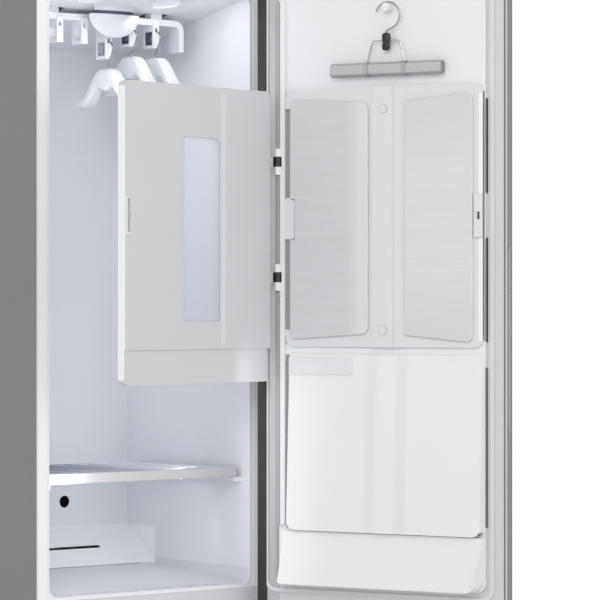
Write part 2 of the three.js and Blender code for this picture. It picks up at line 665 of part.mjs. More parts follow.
function hangerHook(x, drop) {
  const centre = HOOK_TOP - HOOK_WIRE - HOOK_RADIUS - drop;
  const points = [
    new THREE.Vector3(x, HANGER_Y, HANGER_TOP - drop + SEAT),
    new THREE.Vector3(x, HANGER_Y, HANGER_TOP - drop + HOOK_NECK / 2),
    new THREE.Vector3(x, HANGER_Y - HOOK_RADIUS / 4, HANGER_TOP - drop + HOOK_NECK)];
  for (const share of hookArc_shares) {
    const turn = Math.PI * share;
    points.push(new THREE.Vector3(x, HANGER_Y + HOOK_RADIUS * Math.cos(turn),
      centre + HOOK_RADIUS * Math.sin(turn)));
  }
  return wire(new THREE.CatmullRomCurve3(points), HOOK_WIRE, HANGER_STEPS + ARC_STEPS);
}

const hangerPlaces = [0, 1, 2];
hangerPlaces.forEach((place) => {
  const drop = place === 0 ? CENTRE_DROP : 0;
  piece(cabinet, `hanger_${place + 1}_body`, hangerBody(place * HOLDER_PITCH, drop), finish.white);
  piece(cabinet, `hanger_${place + 1}_hook`, hangerHook(place * HOLDER_PITCH, drop), finish.chrome);
});

// Shelf with slats and a front rail, on ledges at the sides
const SLAT_PITCH = 60;
const SLAT_WIDTH = 12;
const SHELF_RIM = 16;
const SHELF_PLATE = 8;
const SHELF_RAIL_DEPTH = 18;

function shelfRack() {
  const y0 = SHELF_FRONT + SHELF_RAIL_DEPTH + SEAT;
  const plate = box(-SHELF_HALF, SHELF_HALF, y0, SHELF_BACK, SHELF_BOTTOM, SHELF_TOP);
  const under = box(-SHELF_HALF + SHELF_RIM, SHELF_HALF - SHELF_RIM, y0 + SHELF_RIM, SHELF_BACK - SHELF_RIM,
    SHELF_BOTTOM - RUN, SHELF_TOP - SHELF_PLATE);
  const slots = [];
  const count = Math.floor((SHELF_HALF - SHELF_RIM) * 2 / SLAT_PITCH);
  for (let k = 0; k < count; k += 1) {
    const x = (k - (count - 1) / 2) * SLAT_PITCH;
    slots.push(box(x - (SLAT_PITCH - SLAT_WIDTH) / 2, x + (SLAT_PITCH - SLAT_WIDTH) / 2, y0 + SHELF_RIM,
      SHELF_BACK - SHELF_RIM, SHELF_BOTTOM - RUN, SHELF_TOP + RUN));
  }
  return cut(plate, under, ...slots);
}

piece(cabinet, 'shelf_rack', shelfRack(), finish.white);
piece(cabinet, 'shelf_front_rail', prismX(roundRect(SHELF_FRONT, SHELF_FRONT + SHELF_RAIL_DEPTH,
  SHELF_BOTTOM, SHELF_TOP, LINER_WALL), -SHELF_HALF, SHELF_HALF), finish.silver);

// Tank bay: front panel, three compartments, the two tanks and the lint filter
const BAY_PANEL_TOP = FRAME_BOTTOM - SEAT;
const BAY_WALL = 4;
const BAY_FRONT = FRONT + FRAME_WALL + SEAT;
const TANK_RIM = 6;
const TANK_WALL = 3;
const GRIP_WIDTH = 90;
const GRIP_HEIGHT = 40;
const GRIP_DEPTH = 28;
const FILTER_FRAME = 4;
const FILTER_DEPTH = 150;
const TANK_TOP = TANK_BOTTOM + TANK_HEIGHT;
const FILTER_BOTTOM = TANK_TOP - FILTER_HEIGHT;
const compartments = [
  [-TANK_OFFSET, TANK_WIDTH, TANK_BOTTOM, TANK_DEPTH],
  [TANK_OFFSET, TANK_WIDTH, TANK_BOTTOM, TANK_DEPTH],
  [0, FILTER_WIDTH, FILTER_BOTTOM, FILTER_DEPTH]];

function compartmentTool(grow, y0, y1, [x, width, z0]) {
  return box(x - width / 2 - grow, x + width / 2 + grow, y0, y1, z0 - SEAT - grow + SLIDE_GAP,
    TANK_TOP + grow);
}

function bayPanel() {
  const panel = box(-INSIDE_CASE, INSIDE_CASE, FRONT, FRONT + FRAME_WALL, SEAT, BAY_PANEL_TOP);
  return cut(panel, ...compartments.map((c) => compartmentTool(SLIDE_GAP, FRONT - RUN, BAY_FRONT + RUN, c)));
}

function tankBay() {
  const sleeves = compartments.map((c) => compartmentTool(SLIDE_GAP + BAY_WALL, BAY_FRONT,
    FRONT + c[3] + SLIDE_GAP + BAY_WALL, c));
  const hollows = compartments.map((c) => cut(compartmentTool(SLIDE_GAP, BAY_FRONT - RUN,
    FRONT + c[3] + SLIDE_GAP, c)));
  const legs = [-TANK_OFFSET, TANK_OFFSET].map((x) => box(x - TANK_WIDTH / 4, x + TANK_WIDTH / 4,
    BAY_FRONT + BAY_WALL, BAY_FRONT + TANK_DEPTH / 2, TRAY_FLOOR + SEAT, TANK_BOTTOM));
  const bridge = box(-TANK_OFFSET, TANK_OFFSET, BAY_FRONT, BAY_FRONT + BAY_WALL, TANK_BOTTOM, TANK_TOP);
  return cut(join(...sleeves, ...legs, bridge), ...hollows);
}

function tank([x, width, z0, depth]) {
  const half = width / 2;
  const body = box(x - half, x + half, FRONT, FRONT + depth, z0, TANK_TOP);
  const hollow = box(x - half + TANK_WALL, x + half - TANK_WALL, FRONT + GRIP_DEPTH + TANK_WALL,
    FRONT + depth - TANK_WALL, z0 + TANK_WALL, TANK_TOP - TANK_RIM);
  const filler = rodZ(x, FRONT + depth / 2, TANK_TOP - TANK_RIM - RUN, TANK_TOP + RUN, GRIP_HEIGHT / 2);
  const gripTop = TANK_TOP - GRIP_HEIGHT;
  const grip = prismY(roundRect(x - GRIP_WIDTH / 2, x + GRIP_WIDTH / 2, gripTop - GRIP_HEIGHT, gripTop,
    GRIP_HEIGHT / 3), FRONT - RUN, FRONT + GRIP_DEPTH);
  return cut(body, hollow, filler, grip);
}

function lintFilter() {
  const half = FILTER_WIDTH / 2;
  const frame = box(-half, half, FRONT, FRONT + FILTER_DEPTH, FILTER_BOTTOM, TANK_TOP);
  const hollow = box(-half + FILTER_FRAME, half - FILTER_FRAME, FRONT + GRIP_DEPTH + FILTER_FRAME,
    FRONT + FILTER_DEPTH - FILTER_FRAME, FILTER_BOTTOM + FILTER_FRAME, TANK_TOP + RUN);
  const grip = prismY(roundRect(-half / 2, half / 2, FILTER_BOTTOM + FILTER_HEIGHT / 3,
    TANK_TOP - FILTER_HEIGHT / 3, GRIP_HEIGHT / 4), FRONT - RUN, FRONT + GRIP_DEPTH);
  return cut(frame, hollow, grip);
}

piece(cabinet, 'bay_front_panel', bayPanel(), finish.paleGray);
piece(cabinet, 'tank_bay', tankBay(), finish.zinc);
piece(cabinet, 'fresh_tank', tank(compartments[0]), finish.tank);
piece(cabinet, 'drain_tank', tank(compartments[1]), finish.tank);
piece(cabinet, 'lint_filter', lintFilter(), finish.white);

// Machine bay: compressor, heat exchangers, blower and fan, steam generator, drain pump, controls
const COMPRESSOR_X = -130;
const COMPRESSOR_Y = 150;
const COMPRESSOR_RADIUS = 72;
const COMPRESSOR_HEIGHT = 190;
const COMPRESSOR_FOOT = 14;
const COMPRESSOR_PLATE = 5;
const COMPRESSOR_WALL_share = 0.93;
const COMPRESSOR_PORT = 16;
const COMPRESSOR_SIDES = 12;
const compressorShares = [
  [0, 0], [0.72, 0], [0.9, 0.06], [0.97, 0.16], [0.97, 0.42], [1, 0.44], [1, 0.5], [0.97, 0.52],
  [0.95, 0.78], [0.82, 0.92], [0.5, 0.99], [0, 1]];

function compressor() {
  const drum = (share) => lathe(compressorShares.map(([r, h]) => [
    r * share * COMPRESSOR_RADIUS, (h * share + (1 - share) / 2) * COMPRESSOR_HEIGHT]), COMPRESSOR_SIDES)
    .translate([COMPRESSOR_X, COMPRESSOR_Y, TRAY_FLOOR + SEAT + COMPRESSOR_FOOT]);
  const plateZ = TRAY_FLOOR + SEAT + COMPRESSOR_FOOT;
  const reach = COMPRESSOR_RADIUS;
  const plate = box(COMPRESSOR_X - reach, COMPRESSOR_X + reach, COMPRESSOR_Y - reach, COMPRESSOR_Y + reach,
    plateZ - COMPRESSOR_PLATE, plateZ + COMPRESSOR_PLATE);
  const feet = [[-1, -1], [1, -1], [1, 1], [-1, 1]].map(([i, j]) => rodZ(
    COMPRESSOR_X + i * (reach - COMPRESSOR_FOOT), COMPRESSOR_Y + j * (reach - COMPRESSOR_FOOT),
    TRAY_FLOOR + SEAT, plateZ, COMPRESSOR_FOOT - COMPRESSOR_PLATE));
  const port = rodZ(COMPRESSOR_X, COMPRESSOR_Y, 0, plateZ + COMPRESSOR_HEIGHT / 2, COMPRESSOR_PORT);
  return cut(join(drum(1), plate, ...feet), drum(COMPRESSOR_WALL_share), port);
}

const FAN_X = 130;
const FAN_Z = 150;
const FAN_RADIUS = 74;
const FAN_FRONT = 60;
const FAN_DEPTH = 60;
const FAN_HUB = 16;
const FAN_BORE = 5;
const FAN_BLADES = 14;
const FAN_BLADE_WALL = 3;
const FAN_BLADE_ROOT = 46;
const FAN_PLATE = 4;
const FAN_GAP = 6;
const BLOWER_WALL = 4;
const BLOWER_FOOT = 60;
const BLOWER_MOUTH = 70;
const BLOWER_TOP = 300;
const BLOWER_INLET = 50;
const BLOWER_MOTOR = 40;
const BLOWER_MOTOR_DEPTH = 50;

function blowerHousing() {
  const y0 = FAN_FRONT - FAN_GAP - BLOWER_WALL;
  const y1 = FAN_FRONT + FAN_DEPTH + FAN_GAP + BLOWER_WALL;
  const outer = FAN_RADIUS + FAN_GAP + BLOWER_WALL;
  const scroll = rodY(FAN_X, FAN_Z, y0, y1, outer, ROUND_STEPS * 2);
  const spout = box(FAN_X + outer - BLOWER_MOUTH, FAN_X + outer, y0, y1, FAN_Z, BLOWER_TOP);
  const foot = box(FAN_X - BLOWER_FOOT, FAN_X + BLOWER_FOOT, y0, y1, TRAY_FLOOR + SEAT, FAN_Z - FAN_RADIUS / 2);
  const inner = rodY(FAN_X, FAN_Z, y0 + BLOWER_WALL, y1 - BLOWER_WALL, FAN_RADIUS + FAN_GAP, ROUND_STEPS * 2);
  const throat = box(FAN_X + outer - BLOWER_MOUTH + BLOWER_WALL, FAN_X + outer - BLOWER_WALL,
    y0 + BLOWER_WALL, y1 - BLOWER_WALL, FAN_Z, BLOWER_TOP + RUN);
  const inlet = rodY(FAN_X, FAN_Z, y0 - RUN, y0 + BLOWER_WALL + RUN, BLOWER_INLET);
  const motor = rodY(FAN_X, FAN_Z, y1 - BLOWER_WALL, y1 + BLOWER_MOTOR_DEPTH, BLOWER_MOTOR);
  const shaft = rodY(FAN_X, FAN_Z, FAN_FRONT, y1, FAN_BORE);
  return join(cut(join(scroll, spout, foot), inner, throat, inlet), motor, shaft);
}

function fanWheel() {
  const y1 = FAN_FRONT + FAN_DEPTH;
  const hub = rodY(FAN_X, FAN_Z, FAN_FRONT + FAN_HUB, y1, FAN_HUB);
  const plate = rodY(FAN_X, FAN_Z, y1 - FAN_PLATE, y1, FAN_RADIUS, ROUND_STEPS * 2);
  const ring = cut(rodY(FAN_X, FAN_Z, FAN_FRONT, FAN_FRONT + FAN_PLATE, FAN_RADIUS, ROUND_STEPS * 2),
    rodY(FAN_X, FAN_Z, FAN_FRONT - RUN, FAN_FRONT + FAN_PLATE + RUN, FAN_BLADE_ROOT, ROUND_STEPS * 2));
  const blades = [];
  for (let k = 0; k < FAN_BLADES; k += 1) {
    const blade = box(FAN_BLADE_ROOT + FAN_BLADE_WALL, FAN_RADIUS - FAN_BLADE_WALL, FAN_FRONT, y1,
      -FAN_BLADE_WALL / 2, FAN_BLADE_WALL / 2);
    blades.push(blade.rotate([0, 360 * k / FAN_BLADES, 0]).translate([FAN_X, 0, FAN_Z]));
  }
  return cut(join(plate, hub, ring, ...blades), rodY(FAN_X, FAN_Z, FAN_FRONT - RUN, y1 + RUN,
    FAN_BORE + SEAT));
}

const COIL_WIDTH = 300;
const COIL_DEPTH = 44;
const COIL_LOW = 330;
const COIL_HEIGHT = 150;
const COIL_FINS = 12;
const COIL_FIN_GAP = 14;
const COIL_BORDER = 14;
const EVAPORATOR_Y = 10;
const CONDENSER_Y = 90;
const COIL_X = 60;

function coil(y) {
  const x0 = COIL_X - COIL_WIDTH / 2;
  const block = box(x0, x0 + COIL_WIDTH, y, y + COIL_DEPTH, COIL_LOW, COIL_LOW + COIL_HEIGHT);
  const pitch = (COIL_WIDTH - 2 * COIL_BORDER) / COIL_FINS;
  const gaps = [];
  for (let k = 0; k < COIL_FINS; k += 1) {
    const x = x0 + COIL_BORDER + (k + 1 / 2) * pitch;
    gaps.push(box(x - COIL_FIN_GAP / 2, x + COIL_FIN_GAP / 2, y - RUN, y + COIL_DEPTH + RUN,
      COIL_LOW + COIL_BORDER, COIL_LOW + COIL_HEIGHT - COIL_BORDER));
  }
  return cut(block, ...gaps);
}

function coilPipes() {
  const x = COIL_X - COIL_WIDTH / 2 + COIL_BORDER / 2;
  return [COIL_LOW + COIL_BORDER, COIL_LOW + COIL_HEIGHT - COIL_BORDER].map((z) => {
    const pipe = rodY(x, z, EVAPORATOR_Y, CONDENSER_Y + COIL_DEPTH / 2, COIL_BORDER / 3);
    return pipe;
  });
}

const DECK_WALL = 2;
const DECK_FLANGE = 30;
const GENERATOR_X = -285;
const GENERATOR_WIDTH = 90;
const GENERATOR_Y = -40;
const GENERATOR_DEPTH = 90;
const GENERATOR_HEIGHT = 120;
const CONTROL_X = -130;
const CONTROL_WIDTH = 110;
const CONTROL_HEIGHT = 220;
const CONTROL_DEPTH = 50;
const PUMP_X = 0;
const PUMP_Y = 160;
const PUMP_RADIUS = 30;
const PUMP_HEIGHT = 70;
const NOZZLE = 10;

// A deck across the bay that carries the heat exchangers, on flanges against the case
function deck() {
  const y0 = BAY_FRONT + TANK_DEPTH + BAY_WALL + SLIDE_GAP * 2;
  const y1 = BACK - CASE_WALL - PANEL_RIB_RISE - SEAT * 2;
  const plate = box(-INSIDE_CASE, INSIDE_CASE, y0, y1, COIL_LOW - SEAT - DECK_WALL, COIL_LOW - SEAT);
  const flanges = [[-INSIDE_CASE, -INSIDE_CASE + DECK_WALL], [INSIDE_CASE - DECK_WALL, INSIDE_CASE]]
    .map(([x0, x1]) => box(x0, x1, y0, y1, COIL_LOW - SEAT - DECK_FLANGE, COIL_LOW - SEAT));
  const outer = FAN_X + FAN_RADIUS + FAN_GAP + BLOWER_WALL;
  const mouth = box(outer - BLOWER_MOUTH - SLIDE_GAP, outer + SLIDE_GAP, FAN_FRONT - FAN_GAP - SLIDE_GAP * 3,
    FAN_FRONT + FAN_DEPTH + FAN_GAP + SLIDE_GAP * 3, COIL_LOW - DECK_FLANGE * 2, COIL_LOW + RUN);
  return cut(join(plate, ...flanges), mouth);
}

function steamGenerator() {
  const z0 = TRAY_FLOOR + SEAT;
  const tankBody = prismZ(roundRect(GENERATOR_X, GENERATOR_X + GENERATOR_WIDTH, GENERATOR_Y,
    GENERATOR_Y + GENERATOR_DEPTH, NOZZLE), z0, z0 + GENERATOR_HEIGHT);
  const x = GENERATOR_X + GENERATOR_WIDTH / 2;
  const y = GENERATOR_Y + GENERATOR_DEPTH / 2;
  return join(tankBody, rodZ(x, y, z0 + GENERATOR_HEIGHT, z0 + GENERATOR_HEIGHT + NOZZLE * 2, NOZZLE));
}

function controlBox() {
  const z0 = TRAY_FLOOR + SEAT;
  const body = box(CONTROL_X, CONTROL_X + CONTROL_WIDTH, GENERATOR_Y, GENERATOR_Y + CONTROL_DEPTH, z0,
    z0 + CONTROL_HEIGHT);
  return body;
}

function drainPump() {
  const z0 = TRAY_FLOOR + SEAT;
  return join(rodZ(PUMP_X, PUMP_Y, z0, z0 + PUMP_HEIGHT, PUMP_RADIUS),
    rodZ(PUMP_X, PUMP_Y, z0 + PUMP_HEIGHT, z0 + PUMP_HEIGHT + NOZZLE * 2, NOZZLE));
}

piece(cabinet, 'compressor', compressor(), finish.rubber);
piece(cabinet, 'blower_housing', blowerHousing(), finish.zinc);
piece(cabinet, 'fan_wheel', fanWheel(), finish.white);
piece(cabinet, 'exchanger_deck', deck(), finish.zinc);
piece(cabinet, 'heat_exchangers', join(coil(EVAPORATOR_Y), coil(CONDENSER_Y), ...coilPipes()), finish.silver);
piece(cabinet, 'steam_generator', steamGenerator(), finish.silver);
piece(cabinet, 'control_box', controlBox(), finish.board);
piece(cabinet, 'drain_pump', drainPump(), finish.black);

// Cabinet hinges: plates with pins at the top and bottom of the door
const HINGE_PLATE = 5;
const HINGE_REACH = 9;
const HINGE_ARM = 40;
const HINGE_SCREW_RUN = 90;
const PIN_DEPTH = 20;
const HINGE_COVER_WALL = 2;
const HINGE_COVER_HEIGHT = 9.4;

function upperHinge() {
  const z0 = CASE_TOP + SEAT;
  const arm = prismZ(roundRect(HALF - HINGE_ARM, HALF, HINGE_Y - HINGE_REACH, FRONT + HINGE_SCREW_RUN,
    HINGE_REACH, 0, 0, 0), z0, z0 + HINGE_PLATE);
  return join(arm, rodZ(HINGE_X, HINGE_Y, DOOR_TOP - PIN_DEPTH, z0 + HINGE_PLATE / 2, HINGE_PIN));
}

function hingeCover() {
  const z0 = CASE_TOP + SEAT + HINGE_PLATE + SEAT;
  const lid = (inset, low, high) => prismZ(roundRect(HALF - HINGE_ARM + inset, HALF - inset,
    HINGE_Y - HINGE_REACH + inset, FRONT + HINGE_SCREW_RUN - inset, HINGE_REACH - inset, 0, 0, 0), low, high);
  return cut(lid(0, z0, z0 + HINGE_COVER_HEIGHT),
    lid(HINGE_COVER_WALL, z0 - RUN, z0 + HINGE_COVER_HEIGHT - HINGE_COVER_WALL));
}

function lowerHinge() {
  const z1 = DOOR_BOTTOM - SLIDE_GAP;
  const y1 = FRONT - SEAT;
  const arm = prismZ(roundRect(HALF - HINGE_ARM, HALF, HINGE_Y - HINGE_REACH, y1, HINGE_REACH, 0, 0, 0),
    z1 - HINGE_PLATE, z1);
  const flange = box(HALF - HINGE_ARM, HALF, y1 - CASE_WALL, y1, TRIM_TOP - HINGE_ARM, z1);
  return join(arm, flange, rodZ(HINGE_X, HINGE_Y, z1 - HINGE_PLATE / 2, DOOR_BOTTOM + PIN_DEPTH, HINGE_PIN));
}

piece(cabinet, 'upper_hinge', upperHinge(), finish.zinc);
piece(cabinet, 'lower_hinge', lowerHinge(), finish.zinc);
piece(cabinet, 'hinge_cover', hingeCover(), finish.black);

// Door: steel shell with an inner flange, glass front, raised inner liner and gasket
const SHELL_WALL = DOOR_WALL;
const GRIP_Z0 = 900;
const GRIP_Z1 = 1300;
const GRIP_Y0 = -306;
const GRIP_Y1 = -288;
const GRIP_REACH = 22;
const DISPLAY_HALF = 45;
const DISPLAY_LOW = 1330;
const DISPLAY_TOP = 1500;
const DISPLAY_DEPTH = 12;
const BLOCK_HEIGHT = 24;
const SLIT_WIDTH = 3;
const SLIT_INSET = 34;
const RIM_GROOVE_X = 241;
const RIM_GROOVE_WIDTH = 4;
const RIM_GROOVE_DEPTH = 2;

function doorShell() {
  const outer = prismY(roundRect(-HALF, HALF, DOOR_BOTTOM, DOOR_TOP, DOOR_CORNER), SHELL_FRONT, DOOR_BACK);
  const hollow = prismY(roundRect(-HALF + SHELL_WALL, HALF - SHELL_WALL, DOOR_BOTTOM + SHELL_WALL,
    DOOR_TOP - SHELL_WALL, DOOR_CORNER - SHELL_WALL), SHELL_FRONT + SHELL_WALL, DOOR_BACK - SHELL_WALL);
  const mouth = prismY(roundRect(-LINER_FREE_X - SEAT, LINER_HINGE_X + SEAT, LINER_BOTTOM - SEAT,
    LINER_TOP + SEAT, LINER_CORNER), DOOR_BACK - SHELL_WALL - RUN, DOOR_BACK + RUN);
  const display = box(-DISPLAY_HALF - SEAT, DISPLAY_HALF + SEAT, SHELL_FRONT - RUN,
    SHELL_FRONT + SHELL_WALL + RUN, DISPLAY_LOW - SEAT, DISPLAY_TOP + SEAT);
  const pinHole = rodZ(HINGE_X, HINGE_Y, DOOR_BOTTOM - RUN, DOOR_TOP + RUN, HINGE_PIN + SEAT * 2);
  const slits = slitTools(-LINER_FREE_X - SEAT - SLIT_WIDTH, -LINER_FREE_X - SEAT, DOOR_BACK - SHELL_WALL - RUN,
    DOOR_BACK + RUN);
  return cut(join(cut(outer, hollow, mouth, display, ...slits), gripPocket(SHELL_WALL), ...hingeBlocks()),
    gripPocket(0), pinHole);
}

// The slits beside the press, above and below its keeper
function slitTools(x0, x1, y0, y1) {
  return [[PRESS_BOTTOM + SLIT_INSET / 3, KEEPER_LOW - SEAT], [KEEPER_TOP + SEAT, PRESS_TOP - SLIT_INSET]]
    .map(([z0, z1]) => box(x0, x1, y0, y1, z0, z1));
}

function doorLiner() {
  const shape = (grow) => roundRect(-LINER_FREE_X - grow, LINER_HINGE_X + grow, LINER_BOTTOM - grow,
    LINER_TOP + grow, LINER_CORNER + grow);
  const step = DOOR_BACK - SHELL_WALL - SEAT;
  const raised = prismY(shape(0), step - LINER_WALL, LINER_FACE);
  const lip = prismY(shape(LINER_WALL * 3), step - LINER_WALL, step);
  const hollow = prismY(shape(-LINER_WALL), step - LINER_WALL - RUN, LINER_FACE - LINER_WALL);
  const slits = slitTools(-LINER_FREE_X - LINER_WALL * 3 - RUN, -LINER_FREE_X, step - LINER_WALL - RUN, step + RUN);
  const groove = box(RIM_GROOVE_X, RIM_GROOVE_X + RIM_GROOVE_WIDTH, LINER_FACE - RIM_GROOVE_DEPTH, LINER_FACE + RUN,
    LINER_BOTTOM + LINER_CORNER, LINER_TOP - LINER_CORNER);
  return cut(join(raised, lip), hollow, ...slits, groove);
}

const GASKET_WIDTH = 9;
const GASKET_OUT = 280;
const GASKET_LAP_TOP = 19;
const GASKET_LAP_LOW = 13;
const GASKET_TOP = OPENING_TOP + GASKET_LAP_TOP;
const GASKET_BOTTOM = FLOOR_FRONT - GASKET_LAP_LOW;
const GASKET_SQUEEZE = 0.4;

function doorGasket() {
  const ring = (shrink) => roundRect(-GASKET_OUT + shrink, GASKET_OUT - shrink, GASKET_BOTTOM + shrink,
    GASKET_TOP - shrink, LINER_CORNER + GASKET_WIDTH - shrink);
  return cut(prismY(ring(0), DOOR_BACK + SEAT, FRONT - GASKET_SQUEEZE),
    prismY(ring(GASKET_WIDTH), DOOR_BACK - RUN, FRONT + RUN));
}

function gripPocket(grow) {
  return box(-HALF - (grow > 0 ? 0 : RUN), -HALF + GRIP_REACH + grow, GRIP_Y0 - grow, GRIP_Y1 + grow,
    GRIP_Z0 - grow, GRIP_Z1 + grow);
}

function hingeBlocks() {
  return [[DOOR_BOTTOM, DOOR_BOTTOM + BLOCK_HEIGHT], [DOOR_TOP - BLOCK_HEIGHT, DOOR_TOP]].map(([z0, z1]) => box(
    HINGE_X - HINGE_REACH, HALF - SHELL_WALL / 2, HINGE_Y - HINGE_REACH, HINGE_Y + HINGE_REACH, z0, z1));
}

piece(door, 'door_shell', doorShell(), finish.darkSteel);
piece(door, 'door_glass', prismY(roundRect(-HALF, HALF, DOOR_BOTTOM, DOOR_TOP, DOOR_CORNER), DOOR_FRONT,
  DOOR_FRONT + GLASS), finish.glass);
piece(door, 'door_liner', doorLiner(), finish.white);
piece(door, 'door_gasket', doorGasket(), finish.rubber);
piece(door, 'display_panel', box(-DISPLAY_HALF, DISPLAY_HALF, SHELL_FRONT, SHELL_FRONT + DISPLAY_DEPTH,
  DISPLAY_LOW, DISPLAY_TOP), finish.black);

// Trouser press on the door: base, ridge, two pads, screw caps, keeper and hinge strip
const RIDGE_HINGE_X = 3.5;
const RIDGE_FREE_X = -44;
const RIDGE_FOOT_X = -71.8;
const RIDGE_RISE = 5.5;
const PAD_GAP = 12;
const HINGE_PAD = {
  near: 208, far: 15, nearTop: 1621, nearLow: 1097, farTop: 1610, farLow: 1109.6, nearCorner: 13, farCorner: 19,
};
const FREE_PAD = {
  near: -74, far: -236, nearTop: 1609.7, nearLow: 1107.8, farTop: 1623.7, farLow: 1092.5, nearCorner: 3,
  farCorner: 19,
};
const SLOT_X = 208.3;
const SLOT_DEPTH = 4;
const SLOT_CORNER = 5;
const SLOT_TOP = 1600.7;
const SLOT_LOW = 1119;
const TAB_X0 = 198;
const TAB_LOW = 1316.5;
const TAB_TOP = 1402;
const TAB_RISE = 3;
const TAB_GAP = 1.5;
const CAP_X = -22.6;
const CAP_TOP_Z = 1594;
const CAP_LOW_Z = 1118;
const CAP_RADIUS = 9.5;
const CAP_RISE = 1.5;
const KEEPER_X0 = -258;
const KEEPER_X1 = -240;
const KEEPER_HOOK = 8;
const STRIP_X0 = 223;
const STRIP_END = 12;
const STRIP_SEAM = 1;
const stripSeams = [1528.8, 1190];
const KNUCKLE_RADIUS = 7;
const KNUCKLE_PIN = 2.2;
const upperKnuckles = [1457.4, 1475.4, 1496.9, 1514.5];
const lowerKnuckles = [1203.2, 1221.9, 1243.8, 1261.6];

function pressBase() {
  const plate = prismY(roundRect(-PRESS_FREE_X, PRESS_HINGE_X, PRESS_BOTTOM, PRESS_TOP, PRESS_CORNER),
    LINER_FACE + SEAT, BASE_FACE);
  const ridge = prismZ(outline([
    [RIDGE_FOOT_X, BASE_FACE - SEAT], [RIDGE_HINGE_X + RIDGE_RISE / 2, BASE_FACE - SEAT],
    [RIDGE_HINGE_X, BASE_FACE + RIDGE_RISE], [RIDGE_FREE_X, BASE_FACE + RIDGE_RISE]]),
  PRESS_BOTTOM, PRESS_TOP);
  const slots = [[SLOT_LOW, TAB_LOW - TAB_GAP], [TAB_TOP + TAB_GAP * 3, SLOT_TOP]].map(([z0, z1]) => prismY(
    roundRect(SLOT_X, PRESS_HINGE_X + RUN, z0, z1, SLOT_CORNER, 0, 0, SLOT_CORNER), BASE_FACE - SLOT_DEPTH,
    BASE_FACE + RUN));
  const tab = prismY(roundRect(TAB_X0, PRESS_HINGE_X, TAB_LOW, TAB_TOP, SLOT_CORNER, 0, 0, SLOT_CORNER),
    BASE_FACE - SLOT_DEPTH / 2, BASE_FACE + TAB_RISE);
  return join(cut(plate, ...slots), tab, ridge, ...screwCaps());
}

function pad(size) {
  const shape = softOutline([
    [size.near, size.nearLow], [size.near, size.nearTop], [size.far, size.farTop], [size.far, size.farLow]],
  [size.nearCorner, size.nearCorner, size.farCorner, size.farCorner]);
  const notch = box(TAB_X0 - TAB_GAP, PRESS_HINGE_X, BASE_FACE - RUN, PAD_FACE + RUN, TAB_LOW - TAB_GAP,
    TAB_TOP + TAB_GAP);
  return cut(prismY(shape, BASE_FACE + SEAT, PAD_FACE), notch);
}

function screwCaps() {
  return [CAP_TOP_Z, CAP_LOW_Z].map((z) => rodY(CAP_X, z, BASE_FACE, BASE_FACE + RIDGE_RISE + CAP_RISE,
    CAP_RADIUS));
}

function keeper() {
  const plate = box(KEEPER_X0, KEEPER_X1, BASE_FACE + SEAT, PAD_FACE, KEEPER_LOW, KEEPER_TOP);
  const middle = (KEEPER_LOW + KEEPER_TOP) / 2;
  const slot = box(KEEPER_X0 + KEEPER_HOOK / 2, KEEPER_X1 - KEEPER_HOOK / 2, BASE_FACE + PAD_RISE / 2,
    PAD_FACE + RUN, middle - KEEPER_HOOK, middle + KEEPER_HOOK);
  return cut(plate, slot);
}

function knuckleRod(z0, z1, radius) {
  return rodZ(COVER_HINGE_X, COVER_HINGE_Y, z0, z1, radius, ROUND_STEPS);
}

function hingeStrip() {
  const rail = box(STRIP_X0, COVER_HINGE_X, LINER_FACE + SEAT, COVER_HINGE_Y, SCOOP_TOP + STRIP_END,
    LINER_TOP - STRIP_END);
  const seams = stripSeams.map((z) => box(STRIP_X0 - RUN, COVER_HINGE_X + RUN, COVER_HINGE_Y - STRIP_SEAM,
    COVER_HINGE_Y + RUN, z, z + STRIP_SEAM));
  const sets = [upperKnuckles, lowerKnuckles];
  const outer = sets.flatMap(([a, b, c, d]) => [knuckleRod(a, b - SEAT, KNUCKLE_RADIUS),
    knuckleRod(c + SEAT, d, KNUCKLE_RADIUS)]);
  const bays = sets.map(([, b, c]) => knuckleRod(b - SEAT, c + SEAT, KNUCKLE_RADIUS + SLIDE_GAP / 2));
  const relief = box(STRIP_X0 - RUN, COVER_HINGE_X + RUN, LINER_FACE - RUN, LINER_FACE + SEAT,
    LINER_BOTTOM, LINER_TOP);
  return join(cut(join(cut(rail, ...seams), ...outer), ...bays, relief), ...hingePins());
}

function hingePins() {
  return [upperKnuckles, lowerKnuckles].map(([a, , , d]) => knuckleRod(a, d, KNUCKLE_PIN));
}

piece(door, 'press_base', pressBase(), finish.white);
piece(door, 'press_pad_hinge_side', pad(HINGE_PAD), finish.padGray);
piece(door, 'press_pad_free_side', pad(FREE_PAD), finish.padGray);
piece(door, 'press_keeper', keeper(), finish.silver);
piece(door, 'press_hinge_strip', hingeStrip(), finish.white);

// Pocket panel under the press, with its finger strip, and the flared scoop at the bottom
const POCKET_TOP = 1064.6;
const POCKET_BOTTOM = 681;
const POCKET_HINGE_X = 212;
const POCKET_FREE_X = 258;
const POCKET_TOP_RISE = 6;
const POCKET_LOW_RISE = 22;
const FINGER_X0 = 55;
const FINGER_X1 = 212;
const FINGER_LOW = 1021;
const FINGER_TOP = 1058;
const FINGER_RISE = 2.4;
const FINGER_CORNER = 8;
const STEP_DEPTH = 1.2;
const POCKET_CORNER = 20;
const POCKET_RIDGE_RISE = 1.5;
const SCOOP_HINGE_X = 247;
const SCOOP_FREE_X = 259;
const SCOOP_TOP_RISE = 14;
const SCOOP_LOW_RISE = 36;
const SCOOP_CORNER = 30;

